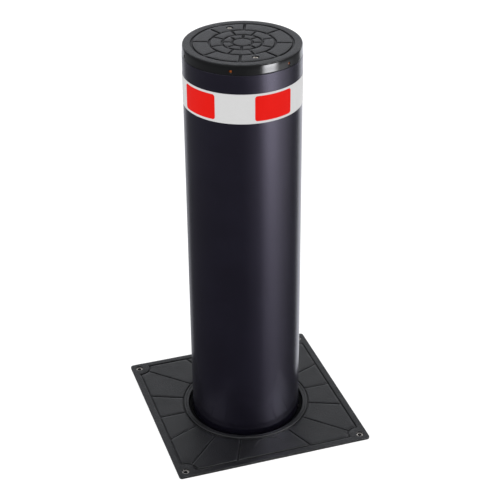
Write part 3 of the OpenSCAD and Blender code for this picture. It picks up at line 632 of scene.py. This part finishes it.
def build_patches():
    """Plain red patches with rounded corners, curved to the band."""
    faces = patch_faces()
    used = sorted({v for face in faces for v in face})
    renumber = {v: k for k, v in enumerate(used)}
    faces = [tuple(renumber[v] for v in face) for face in faces]
    patches = []
    for n, angle in enumerate(PATCH_ANGLES):
        centre = radians(angle)
        points = patch_layer(centre, 0.0, -0.05 * MM)
        points += patch_layer(centre, 0.0, 0.6 * PATCH_LIFT)
        points += patch_layer(centre, 0.35 * MM, PATCH_LIFT)
        patches.append(add_mesh(f"red_patch_{n + 1}", [points[v] for v in used], faces))
    finish_set(patches, "stem", "red_film", "red_patches")


# ---------------------------------------------------------------- head cap

# The top's pattern, in mm
CAP_GROOVE_W = 5.0
CAP_GROOVE_DEPTH = 2.9
PAD_EDGE_DROP = 1.1
PAD_EDGE_W = 7.0
CAP_RINGS = (18.5, 36.6, 59.8, 91.8)
CAP_SPOKES = 16
CAP_TURN = radians(1.6)
CAP_FACE_R = 106.0

# Its screws and lamps, in metres
CAP_SCREW_AT = 75 * MM
CAP_WELL_R = 6.2 * MM
CAP_WELL_DEPTH = 6 * MM
CAP_WALL = 4 * MM
CAP_LIP_R = STEM_R - STEM_WALL - 0.35 * MM
LAMPS = 6
LAMP_TURN = radians(1)
LAMP_Z = (LAMP_LOW.z + LAMP_HIGH.z) / 2
LAMP_R = (LAMP_HIGH.z - LAMP_LOW.z) / 2


def cap_columns():
    """The lines of points that run outwards, and the angle between spokes. A line is a spoke, and
    its distance from that spoke in mm or its share of the way to the next one."""
    columns = []
    between = 9
    step = 2 * pi / CAP_SPOKES
    for k in range(CAP_SPOKES):
        columns += [(k, s, None) for s in ACROSS_GROOVE]
        columns += [(k, None, (i + 1) / (between + 1)) for i in range(between)]
    return columns, step


def cap_angle(column, step, r):
    spoke, offset, share = column
    reach = max(r, CAP_RINGS[0])
    here = CAP_TURN + spoke * step
    if offset is not None:
        return here + asin(offset / reach)
    free = asin(ACROSS_GROOVE[-1] / reach)
    return here + free + share * (step - 2 * free)


def spoke_distance(angle, r, step):
    """Distance to the nearest spoke groove. The middle zone's spokes stand between those of the others."""
    if not CAP_RINGS[0] < r < CAP_RINGS[-1]:
        return FAR
    first = 0 if CAP_RINGS[1] < r < CAP_RINGS[2] else step
    off = (angle - CAP_TURN - first + step) % (2 * step) - step
    return r * abs(sin(off))


def cap_depth(angle, r, step):
    """Depth below the cap's top: the grooves, and the pads' edges falling off towards them."""
    to_ring = min(abs(r - ring) for ring in CAP_RINGS)
    near = soft_min(to_ring, spoke_distance(angle, r, step), blend=2.0)
    fall = max(1 - near / PAD_EDGE_W, 0)
    return PAD_EDGE_DROP * fall**2 + groove_depth(near, CAP_GROOVE_W, CAP_GROOVE_DEPTH)


def cap_radii():
    """Where the top's rings of points are, in mm: close together across the grooves."""
    edge_points = (-5.2, -3.8, *ACROSS_GROOVE, 3.8, 5.2)
    radii = {1.5, 5, 9, 100, 103, 105, CAP_FACE_R}
    for ring in CAP_RINGS:
        radii.update(ring + n for n in edge_points)
    for low, high in zip(CAP_RINGS, CAP_RINGS[1:]):
        start = low + edge_points[-1]
        end = high - edge_points[-1]
        steps = max(int((end - start) / 3), 2)
        radii.update(start + (end - start) * i / steps for i in range(1, steps))
    return sorted(radii)


def cap_side():
    """The rest of the cap's profile in mm: over the rim, down the side, and up the inside of the lip."""
    stem_r = STEM_R / MM
    top = CAP_TOP / MM
    foot = GASKET_TOP / MM
    lip_foot = CAP_FOOT / MM
    lip = CAP_LIP_R / MM
    wall = (CAP_LIP_R - CAP_WALL) / MM
    return (
        (stem_r - 2.85, top - 0.16),
        (stem_r - 2.05, top - 0.45),
        (stem_r - 1.45, top - 1.05),
        (stem_r - 1.05, top - 2.0),
        (stem_r - 0.8, top - 4),
        (stem_r - 0.55, foot + 10),
        (stem_r - 0.25, foot + 5),
        (stem_r - 0.07, foot + 1.5),
        (stem_r, foot + 0.5),
        (stem_r - 0.1, foot + 0.1),
        (stem_r - 0.4, foot),
        (lip + 0.3, foot),
        (lip, foot - 0.3),
        (lip, lip_foot + 0.5),
        (lip - 0.5, lip_foot),
        (wall + 0.5, lip_foot),
        (wall, lip_foot + 0.5),
        (wall, top - 9),
        (wall - 1, top - 8),
        (3, top - 8),
    )


def cap_holes():
    """Tools for the two screw wells and the lamp holes, which flare at the surface."""
    well = (
        (CAP_WELL_R - 0.8 * MM, CAP_TOP - CAP_WELL_DEPTH),
        (CAP_WELL_R, CAP_TOP - CAP_WELL_DEPTH + 0.8 * MM),
        (CAP_WELL_R, CAP_TOP - 1.0 * MM),
        (CAP_WELL_R + 1.2 * MM, CAP_TOP + 1.0 * MM),
    )
    lamp_hole = (
        (LAMP_R + 0.1 * MM, CAP_LIP_R - CAP_WALL - 2 * MM),
        (LAMP_R + 0.1 * MM, STEM_R - 0.5 * MM),
        (LAMP_R + 0.9 * MM, STEM_R + 0.5 * MM),
    )
    tools = []
    for sign in (-1, 1):
        rings = moved(turned(well, 48), upright(0, sign * CAP_SCREW_AT, 0))
        tools.append(add_mesh("well_tool", *loft(rings)))
    for n in range(LAMPS):
        tools.append(add_mesh("lamp_tool", *loft(at_lamp(n, lamp_hole))))
    return tools


def build_cap():
    """The cast head cap: ringed and spoked anti-slip grooves on top, lamp holes in its side."""
    columns, step = cap_columns()
    casting = 0.1
    rings = []
    for r in cap_radii():
        ring = []
        for column in columns:
            a = cap_angle(column, step, r)
            p = Vector((r * cos(a), r * sin(a), 0))
            p.z = CAP_TOP / MM - cap_depth(a, r, step) + unevenness(p, size=9, height=casting) - casting
            ring.append(p * MM)
        rings.append(ring)
    for r, z in cap_side():
        angles = [cap_angle(column, step, r) for column in columns]
        rings.append([Vector((r * cos(a), r * sin(a), z)) * MM for a in angles])
    cap = add_mesh("cap_casting", *loft(rings))
    carve(cap, cap_holes())
    finish_piece(cap, "stem", "cap_paint", "head_cap", sharp=50)


def outwards(angle, z):
    """Turns local +Z to point out from the stem's axis at this angle and height."""
    return Matrix.Translation((0, 0, z)) @ Matrix.Rotation(angle, 4, "Z") @ Matrix.Rotation(pi / 2, 4, "Y")


def at_lamp(n, profile):
    """Rings turned round the nth lamp's axis: the radius of each, and how far out from the stem's axis."""
    return moved(turned(profile, 40), outwards(LAMP_TURN + n * 2 * pi / LAMPS, LAMP_Z))


def build_lenses():
    """Domed amber lenses, a little sunk in their holes."""
    start = LAMP_HIGH.x - 12.6 * MM
    dome_foot = STEM_R - 3.0 * MM
    dome_rise = 1.8 * MM
    dome = 7
    profile = [(LAMP_R - 0.3 * MM, start), (LAMP_R, start + 0.3 * MM), (LAMP_R, dome_foot)]
    for i in range(1, dome):
        a = pi / 2 * i / dome
        profile.append((LAMP_R * cos(a), dome_foot + dome_rise * sin(a)))
    lenses = [add_mesh(f"lamp_lens_{n + 1}", *loft(at_lamp(n, profile))) for n in range(LAMPS)]
    finish_set(lenses, "stem", "amber_lens", "led_lenses")


def cap_screw(name, y, top, foot, rotation):
    """A screw with a rounded head and a hexagon socket."""
    count = 48
    head_r = 5 * MM
    head_h = 4.6 * MM
    shank_r = 3 * MM
    key = 2.5 * MM
    edge = 0.22 * head_r
    rings = [
        circle(shank_r * 0.8, foot, count),
        circle(shank_r, foot + shank_r * 0.3, count),
        circle(shank_r, top - head_h, count),
        circle(head_r - edge * 0.3, top - head_h, count),
        circle(head_r, top - head_h + edge * 0.4, count),
        circle(head_r, top - edge, count),
        circle(head_r - edge * 0.3, top - edge * 0.3, count),
        circle(head_r - edge, top, count),
        hexagon(key * 1.12, top, count),
        hexagon(key, top - 0.12 * head_r, count),
        hexagon(key, top - 0.6 * head_h, count),
        circle(key * 0.5, top - 0.72 * head_h, count),
    ]
    return add_mesh(name, *loft(moved(rings, upright(0, y, 0, rotation))))


def build_cap_screws():
    top = CAP_TOP - 1.2 * MM
    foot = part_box("cap_screws")[0].z
    screws = [
        cap_screw("cap_screw_1", -CAP_SCREW_AT, top, foot, 0.4),
        cap_screw("cap_screw_2", CAP_SCREW_AT, top, foot, 1.4),
    ]
    finish_set(screws, "stem", "stainless", "cap_screws")


# ---------------------------------------------------------------- cover plate

# The plate, in mm. The front has no spoke groove: the raised arc is there instead
PLATE_GROOVE_W = 4.2
PLATE_GROOVE_DEPTH = 2.2
PLATE_SPOKES = 16
PLAIN_SPOKE = 12
PLATE_CORNER_R = 6.0
CORNER = 182.0
CORNER_ARC_R = 23.0
BORDER = PLATE_HALF / MM - 14
HOLE_R = STEM_R / MM + 8.5
HUB_R = HOLE_R + 10
COLLAR_GROOVE_R = HOLE_R + 11.2
CORNERS = [(x * CORNER * MM, y * CORNER * MM) for x in (-1, 1) for y in (-1, 1)]

# The collar, from the hole's edge over its two bands and down into its groove: mm out from the hole,
# and mm above the ground
COLLAR = (
    (0.0, -1.2),
    (0.4, -0.3),
    (1.2, 0.15),
    (4.4, 0.45),
    (5.0, 0.1),
    (5.6, 0.5),
    (7.6, 1.05),
    (8.3, 1.2),
    (8.8, 1.1),
    (9.4, 0.65),
    (10.0, 0.0),
    (10.5, -0.8),
)

# The plate's outer edge, from its face to its underside: mm in from the outline, and mm above the ground
OUTER_EDGE = (
    (1.6, 0.0),
    (0.8, 0.0),
    (0.3, -0.12),
    (0.08, -0.4),
    (0.0, -0.9),
    (0.0, -4.4),
    (0.4, -5.0),
    (4.0, -5.0),
)

# A line of points that runs outwards over the plate: its spoke, its distance from it or None, and its
# angle at the collar and at the border
Column = namedtuple("Column", "spoke offset inner outer")


def border_reach(angle, t=0.0):
    """How far out the border groove's middle is, or the line this many mm outside it. It is straight
    along the sides, and an arc round the inside of each corner screw."""
    arc_r = CORNER_ARC_R - t
    reach = (BORDER + t) / max(abs(cos(angle)), abs(sin(angle)))
    off = (angle % (pi / 2)) - pi / 4
    far = CORNER * sqrt(2)
    if abs(far * sin(off)) < arc_r:
        reach = min(reach, far * cos(off) - sqrt(arc_r**2 - (far * sin(off)) ** 2))
    return reach


def outline_reach(angle, inset=0.0):
    """The plate's outline, or the line this many mm inside it."""
    half = PLATE_HALF / MM - inset
    corner_r = PLATE_CORNER_R - inset
    off = (angle % (pi / 2)) - pi / 4
    far = (half - corner_r) * sqrt(2)
    if abs(off) < pi / 4 - atan((half - corner_r) / half):
        return far * cos(off) + sqrt(corner_r**2 - (far * sin(off)) ** 2)
    return half / max(abs(cos(angle)), abs(sin(angle)))


def angle_at(spoke_angle, offset):
    """The angle where a line beside a spoke crosses the border."""
    angle = spoke_angle
    for _ in range(12):
        angle = spoke_angle + asin(offset / border_reach(angle))
    return angle


def plate_columns():
    """The lines of points that run outwards. Between spokes, one line meets each end of a corner's arc."""
    step = 2 * pi / PLATE_SPOKES
    edge = ACROSS_GROOVE[-1]
    start_r = COLLAR_GROOVE_R + edge
    arc_end = CORNER - sqrt(CORNER_ARC_R**2 - (BORDER - CORNER) ** 2)
    meets = pi / 4 - atan(arc_end / BORDER)
    columns = []
    for k in range(PLATE_SPOKES):
        here = k * step
        ahead = here + step
        for s in ACROSS_GROOVE:
            columns.append(Column(k, s, here + asin(s / start_r), angle_at(here, s)))
        first = here + asin(edge / start_r)
        last = ahead - asin(edge / start_r)
        start = angle_at(here, edge)
        end = angle_at(ahead, -edge)
        if k % 4 == 1:
            stops = spread(start, ahead - meets, 12) + spread(ahead - meets, end, 12)
        elif k % 4 == 2:
            stops = spread(start, here + meets, 12) + spread(here + meets, end, 12)
        else:
            stops = spread(start, end, 16)
        for i, outer in enumerate(stops[:-1], 1):
            columns.append(Column(k, None, first + (last - first) * i / len(stops), outer))
    return columns


def spread(start, end, count):
    """Evenly spaced values after start, up to end."""
    return [start + (end - start) * (i + 1) / count for i in range(count)]


def grooved_face(column, r, to_border=-FAR):
    """Height of the plate's face in mm, at this radius and this far outside the border groove."""
    grooved = column.offset is not None and column.spoke != PLAIN_SPOKE
    inside = r > COLLAR_GROOVE_R and to_border <= 0
    to_spoke = abs(column.offset) if grooved and inside else FAR
    to_ring = min(abs(r - COLLAR_GROOVE_R), abs(to_border))
    near = soft_min(to_ring, to_spoke, blend=1.2)
    return -groove_depth(near, PLATE_GROOVE_W, PLATE_GROOVE_DEPTH)


def plate_point(angle, r, height):
    """A point of the plate's skin, from mm above the ground to its place in metres."""
    p = Vector((r * cos(angle), r * sin(angle), 0))
    p.z = GROUND / MM + height + unevenness(p, size=26, height=0.18)
    return p * MM


def round_ring(columns, r, height):
    """A ring round the hole."""
    return [plate_point(c.inner, r, height) for c in columns]


def face_ring(columns, share):
    """A ring on the face, this share of the way from the collar's groove to the border's."""
    start_r = COLLAR_GROOVE_R + ACROSS_GROOVE[-1]
    ring = []
    for c in columns:
        start = Vector((cos(c.inner), sin(c.inner))) * start_r
        end = Vector((cos(c.outer), sin(c.outer))) * border_reach(c.outer, ACROSS_GROOVE[0])
        p = start.lerp(end, share)
        ring.append(plate_point(atan2(p.y, p.x), p.length, grooved_face(c, p.length)))
    return ring


def border_ring(columns, t):
    """A ring along the border groove, this many mm outside its middle."""
    ring = []
    for c in columns:
        r = border_reach(c.outer, t)
        ring.append(plate_point(c.outer, r, grooved_face(c, r, t)))
    return ring


def rim_ring(columns, share):
    """A ring on the flat rim, this share of the way from the border groove to the outer edge."""
    ring = []
    for c in columns:
        start = border_reach(c.outer, ACROSS_GROOVE[-1])
        end = outline_reach(c.outer, OUTER_EDGE[0][0])
        ring.append(plate_point(c.outer, start * (1 - share) + end * share, 0.0))
    return ring


def build_plate():
    """The square cast plate: collar round the hole, spoke grooves, border groove and corner arcs."""
    columns = plate_columns()
    under = -PLATE_T / MM
    hub_foot = (HUB_FOOT - GROUND) / MM
    rings = [round_ring(columns, HOLE_R + 0.6, hub_foot), round_ring(columns, HOLE_R, hub_foot + 0.6)]
    rings += [round_ring(columns, HOLE_R + out, z) for out, z in COLLAR]
    for r in [COLLAR_GROOVE_R + n for n in ACROSS_GROOVE if n >= 0]:
        rings.append([plate_point(c.inner, r, grooved_face(c, r)) for c in columns])
    rings += [face_ring(columns, share) for share in (0.08, 0.16, 0.28, 0.4, 0.52, 0.64, 0.76, 0.86, 0.93)]
    rings += [border_ring(columns, t) for t in ACROSS_GROOVE]
    rings += [rim_ring(columns, share) for share in (0.25, 0.5, 0.75)]
    for inset, z in OUTER_EDGE:
        rings.append([plate_point(c.outer, outline_reach(c.outer, inset), z) for c in columns])
    rings += [
        round_ring(columns, 160, under),
        round_ring(columns, HUB_R + 1, under),
        round_ring(columns, HUB_R, under - 1),
        round_ring(columns, HUB_R, hub_foot + 1),
        round_ring(columns, HUB_R - 1, hub_foot),
    ]
    plate = add_mesh("plate_casting", *loft(rings, closed=True))
    carve(plate, plate_ribs(), "UNION")
    carve(plate, plate_holes())
    finish_piece(plate, "housing", "cast_plate", "cover_plate", sharp=50)


def box_mesh(name, low, high, matrix):
    corners = [(low.x, low.y), (high.x, low.y), (high.x, high.y), (low.x, high.y)]
    rings = [[Vector((x, y, z)) for x, y in corners] for z in (low.z, high.z)]
    return add_mesh(name, *loft(moved(rings, matrix)))


def plate_ribs():
    """Eight ribs under the plate, out from the hub."""
    count = 8
    low = Vector((HUB_R - 1, -3, (HUB_FOOT - GROUND) / MM + 6)) * MM
    high = Vector((168, 3, -4.5)) * MM
    angles = [2 * pi * i / count + pi / count for i in range(count)]
    return [box_mesh("rib_tool", low, high, upright(0, 0, GROUND, a)) for a in angles]


def plate_holes():
    """Tools for the corner screws' holes: clearance, countersink, and a flared well."""
    profile = ((4.2, -7), (4.2, -5.5), (7.3, -2.4), (7.4, -0.5), (8.2, 0.6))
    rings = [circle(r * MM, z * MM, 48) for r, z in profile]
    return [add_mesh("hole_tool", *loft(moved(rings, upright(x, y, GROUND)))) for x, y in CORNERS]


def build_plate_screws():
    top = GROUND - 1.9 * MM
    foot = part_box("plate_screws")[0].z
    for n, (x, y) in enumerate(CORNERS, 1):
        screw = countersunk_screw(f"plate_screw_{n}", x, y, top, foot, 0.7 * n)
        finish_piece(screw, "housing", "stainless", *(["plate_screws"] if n == 1 else []))
        # A black plug in each socket: painted shade.
        build_socket_shade_plug(n, x, y, top)


def build_socket_shade_plug(n, x, y, top):
    """A black plug in the screw's socket, a little below its top: painted shade."""
    profile = ((3.2, 3.0), (3.7, 2.0), (3.7, 1.3), (2.6, 1.5))
    rings = [circle(r * MM, top - depth * MM, 24) for r, depth in profile]
    shade_plug = add_mesh(f"socket_shade_plug_{n}", *loft(moved(rings, upright(x, y, 0))))
    finish_piece(shade_plug, "housing", "rubber")


def countersunk_screw(name, x, y, top, foot, rotation):
    """A screw with a flat countersunk head and a hexagon socket."""
    count = 48
    head_r = 6.9 * MM
    shank_r = 3.9 * MM
    key = 3.8 * MM
    rings = [
        circle(shank_r - 0.7 * MM, foot, count),
        circle(shank_r, foot + 1 * MM, count),
        circle(shank_r, top - 3.6 * MM, count),
        circle(head_r - 0.1 * MM, top - 0.7 * MM, count),
        circle(head_r, top - 0.4 * MM, count),
        circle(head_r - 0.15 * MM, top - 0.12 * MM, count),
        circle(head_r - 0.5 * MM, top, count),
        circle(key * 1.27, top - 0.05 * MM, count),
        hexagon(key * 1.05, top - 0.3 * MM, count),
        hexagon(key, top - 0.8 * MM, count),
        hexagon(key, top - 2.8 * MM, count),
        circle(key * 0.5, top - 3.2 * MM, count),
    ]
    return add_mesh(name, *loft(moved(rings, upright(x, y, 0, rotation))))


def build_plate_arc():
    """A thin raised arc on the plate in front of the hole, tapering at both ends."""
    centre = Vector((0, -166 * MM, GROUND - 0.1 * MM))
    arc_r = 33 * MM
    start = radians(18)
    sweep = radians(144)
    steps = 40
    sides = 10
    rings = []
    for i in range(steps + 1):
        share = i / steps
        taper = 6 * min(share, 1 - share)
        width = 1.5 * MM * min(1, 0.35 + taper)
        height = 1.1 * MM * min(1, 0.2 + taper)
        a = start + sweep * share
        out = Vector((cos(a), sin(a), 0))
        ring = []
        for k in range(sides):
            turn = 2 * pi * k / sides
            ring.append(centre + out * (arc_r + width * cos(turn)) + Vector((0, 0, height * sin(turn))))
        rings.append(ring)
    finish_piece(add_mesh("plate_arc", *loft(rings)), "housing", "cast_plate", sharp=60)


# ---------------------------------------------------------------- curly lamp lead


def coil_path(axis, coil, foot, head, tail, pitch):
    """Points along a helix that opens out from its axis in its first turn and closes in its last."""
    per_turn = 18
    length = head - foot
    total = int((length - 2 * tail) / pitch) * per_turn
    path = [Vector((axis.x, axis.y, foot))]
    for i in range(total + 1):
        a = 2 * pi * i / per_turn
        r = coil * min(1, i / per_turn, (total - i) / per_turn)
        z = foot + tail + (length - 2 * tail) * i / total
        path.append(Vector((axis.x + r * cos(a), axis.y + r * sin(a), z)))
    path.append(Vector((axis.x, axis.y, head)))
    return path


def tube(path, r, sides=8):
    """Rings round a path, for a round wire."""
    rings = []
    for i, p in enumerate(path):
        ahead = (path[min(i + 1, len(path) - 1)] - path[max(i - 1, 0)]).normalized()
        side = Vector((1, 0, 0))
        if abs(ahead.z) < 0.95:
            side = ahead.cross(Vector((0.3, 0.2, 1))).normalized()
        other = ahead.cross(side).normalized()
        side = other.cross(ahead).normalized()
        turns = [2 * pi * k / sides for k in range(sides)]
        rings.append([p + r * (cos(t) * side + sin(t) * other) for t in turns])
    return rings


def build_lamp_lead():
    """The curly lead inside the stem."""
    wire_r = 2.5 * MM
    coil = (LEAD_HIGH.x - LEAD_LOW.x) / 2 - wire_r
    axis = (LEAD_LOW + LEAD_HIGH) / 2
    path = coil_path(axis, coil, LEAD_LOW.z, LEAD_HIGH.z, tail=14 * MM, pitch=12 * MM)
    lead = add_mesh("curly_lead", *loft(tube(path, wire_r)))
    finish_piece(lead, "housing", "lead_jacket", "lamp_lead", sharp=80)
    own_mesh(lead)


build_stem()
build_band()
build_patches()
build_cap()
build_lenses()
build_cap_screws()
build_plate()
build_plate_screws()
build_plate_arc()
build_lamp_lead()


# ---------------------------------------------------------------- stage


def stage_floor():
    """A pale floor at the plate's underside, open where the casing goes down into the ground."""
    z = GROUND - PLATE_T - 0.2 * MM
    far = 14.0
    near = PLATE_HALF - 8 * MM
    corners = ((-1, -1), (1, -1), (1, 1), (-1, 1))
    points = [Vector((x * half, y * half, z)) for half in (far, near) for x, y in corners]
    faces = [(i, (i + 1) % 4, (i + 1) % 4 + 4, i + 4) for i in range(4)]
    floor = add_mesh("studio_floor", points, faces)
    look = Look("studio_floor", Roughness=0.9, Specular_IOR_Level=0.1)
    look.set(Base_Color=look.mix(look.noise(1.5, 2), (0.34, 0.34, 0.34), (0.36, 0.36, 0.36)))
    look.set(Emission_Color=(1, 1, 1, 1), Emission_Strength=0.8)
    floor.data.materials.append(look.material)
    floor.visible_glossy = False


# The studio that gloss mirrors, by direction. x is to the camera's right, y away from the camera and z
# up, all for a direction of length 1. Azimuths are in degrees from the camera's side, positive to its
# right. Every function gives a brightness.


def sweep(graph, azimuth, start, end, low=0.0, high=1.0):
    """A soft step between two azimuths."""
    return graph.remap(azimuth, radians(start), radians(end), low, high)


def tall_panel(graph, azimuth, z):
    """A tall panel below the horizon on the right, broad and fading downwards, and its bright top."""
    skirt = sweep(graph, azimuth, -4, 42, 0, 0.25)
    near_edge = graph.plus(skirt, sweep(graph, azimuth, 29, 54, 0, 0.75))
    far_edge = sweep(graph, azimuth, 54, 118, 1, 0)
    fading = graph.calc("POWER", 22000.0, graph.plus(graph.calc("MINIMUM", z, -0.36), 0.366))
    panel = graph.times(near_edge, far_edge, fading, graph.remap(z, -0.35, -0.27, 3.4, 0.25))
    sides = graph.times(sweep(graph, azimuth, 33, 47), sweep(graph, azimuth, 73, 58))
    window = graph.times(sides, graph.remap(z, -0.325, -0.285, 0, 14), graph.remap(z, -0.1, -0.18))
    return graph.plus(panel, window)


def above_front(graph, azimuth, y, z, bounces):
    """Light high up on the camera's side. Its two side parts are stronger in a second reflection, as
    where the stem's foot mirrors the plate."""
    right = graph.times(sweep(graph, azimuth, 38, 56), sweep(graph, azimuth, 120, 80), 5.5)
    left = graph.times(sweep(graph, azimuth, -30, -50), sweep(graph, azimuth, -110, -80), 1.2)
    both = graph.times(graph.plus(right, left), graph.remap(bounces, 1, 2, 1, 6))
    both = graph.times(both, graph.remap(z, 0.82, 0.72))
    front = graph.times(graph.remap(y, 0.2, -0.1), graph.remap(z, 0.4, 0.55))
    return graph.times(front, graph.plus(both, 0.7))


def behind(graph, azimuth, y, z):
    """Light behind the object: overhead, along the horizon, and low down on both sides."""
    overhead = graph.calc("MAXIMUM", graph.times(graph.plus(y, -0.48), 2.15), 0.05)
    overhead = graph.times(overhead, graph.remap(y, 0.86, 0.92, 1, 0.37))
    high = graph.plus(overhead, graph.remap(z, 0.25, 0.02))
    high = graph.times(high, graph.remap(z, -0.1, 0.1), graph.remap(y, 0.1, 0.3, 0.3, 1))
    right = sweep(graph, azimuth, 135, 141, 0, 1.1)
    left = graph.times(sweep(graph, azimuth, -141, -147, 0, 0.55), graph.remap(z, -0.6, -0.4, 0.6, 1))
    low = graph.times(graph.plus(right, left), graph.remap(z, 0.0, -0.1))
    return graph.plus(high, low)


def low_all_round(graph, z):
    """A dim glow from below the horizon, darker towards the floor."""
    glow = graph.remap(graph.calc("MINIMUM", z, -0.36), -0.66, -0.2, 0.045, 0.34)
    return graph.times(glow, graph.remap(z, -0.34, -0.26, 1, 0.55))


def stage_lights():
    """White all round, but gloss mirrors a dim studio with one tall soft panel and a bright back."""
    world = bpy.data.worlds.new("studio")
    bpy.context.scene.world = world
    world.use_nodes = True
    # Rays find the panels without being aimed at them
    world.cycles.sampling_method = "NONE"
    graph = Graph(world.node_tree)
    sky = graph.add("ShaderNodeTexCoord").outputs["Generated"]
    inputs = {"Vector": sky, "Rotation": (0, 0, -radians(CAMERA_AZIMUTH))}
    turned_sky = graph.add("ShaderNodeMapping", inputs).outputs["Vector"]
    x, y, z = graph.add("ShaderNodeSeparateXYZ", {0: turned_sky}).outputs
    azimuth = graph.calc("ARCTAN2", x, graph.times(y, -1))
    path = graph.add("ShaderNodeLightPath")

    soft = graph.plus(low_all_round(graph, z), behind(graph, azimuth, y, z))
    soft = graph.plus(soft, above_front(graph, azimuth, y, z, path.outputs["Glossy Depth"]))
    cool = graph.mix(1.0, (0.98, 1.0, 1.06), soft, "MULTIPLY")
    panel = graph.mix(1.0, (1.0, 1.0, 1.04), tall_panel(graph, azimuth, z), "MULTIPLY")
    studio = graph.mix(1.0, cool, panel, "ADD")
    background = graph.nodes["Background"].inputs["Color"]
    graph.put(background, graph.mix(path.outputs["Is Glossy Ray"], (1, 1, 1), studio))


def stage_camera():
    a, e, roll = (radians(x) for x in (CAMERA_AZIMUTH, CAMERA_ELEVATION, CAMERA_ROLL))
    back = Vector((sin(a) * cos(e), -cos(a) * cos(e), sin(e)))
    right = Vector((cos(a), sin(a), 0))
    up = back.cross(right)
    turned_right = right * cos(roll) + up * sin(roll)
    turned_up = up * cos(roll) - right * sin(roll)
    data = bpy.data.cameras.new("camera")
    data.lens = CAMERA_LENS
    data.sensor_width = 36
    data.clip_start = 0.05
    data.clip_end = 60
    camera = bpy.data.objects.new("camera", data)
    bpy.context.scene.collection.objects.link(camera)
    turn = Matrix((turned_right, turned_up, back)).transposed().to_4x4()
    camera.matrix_world = Matrix.Translation(CAMERA_AIM + back * CAMERA_DISTANCE) @ turn
    bpy.context.scene.camera = camera


stage_floor()
stage_lights()
stage_camera()
bpy.context.scene.view_settings.view_transform = "Standard"
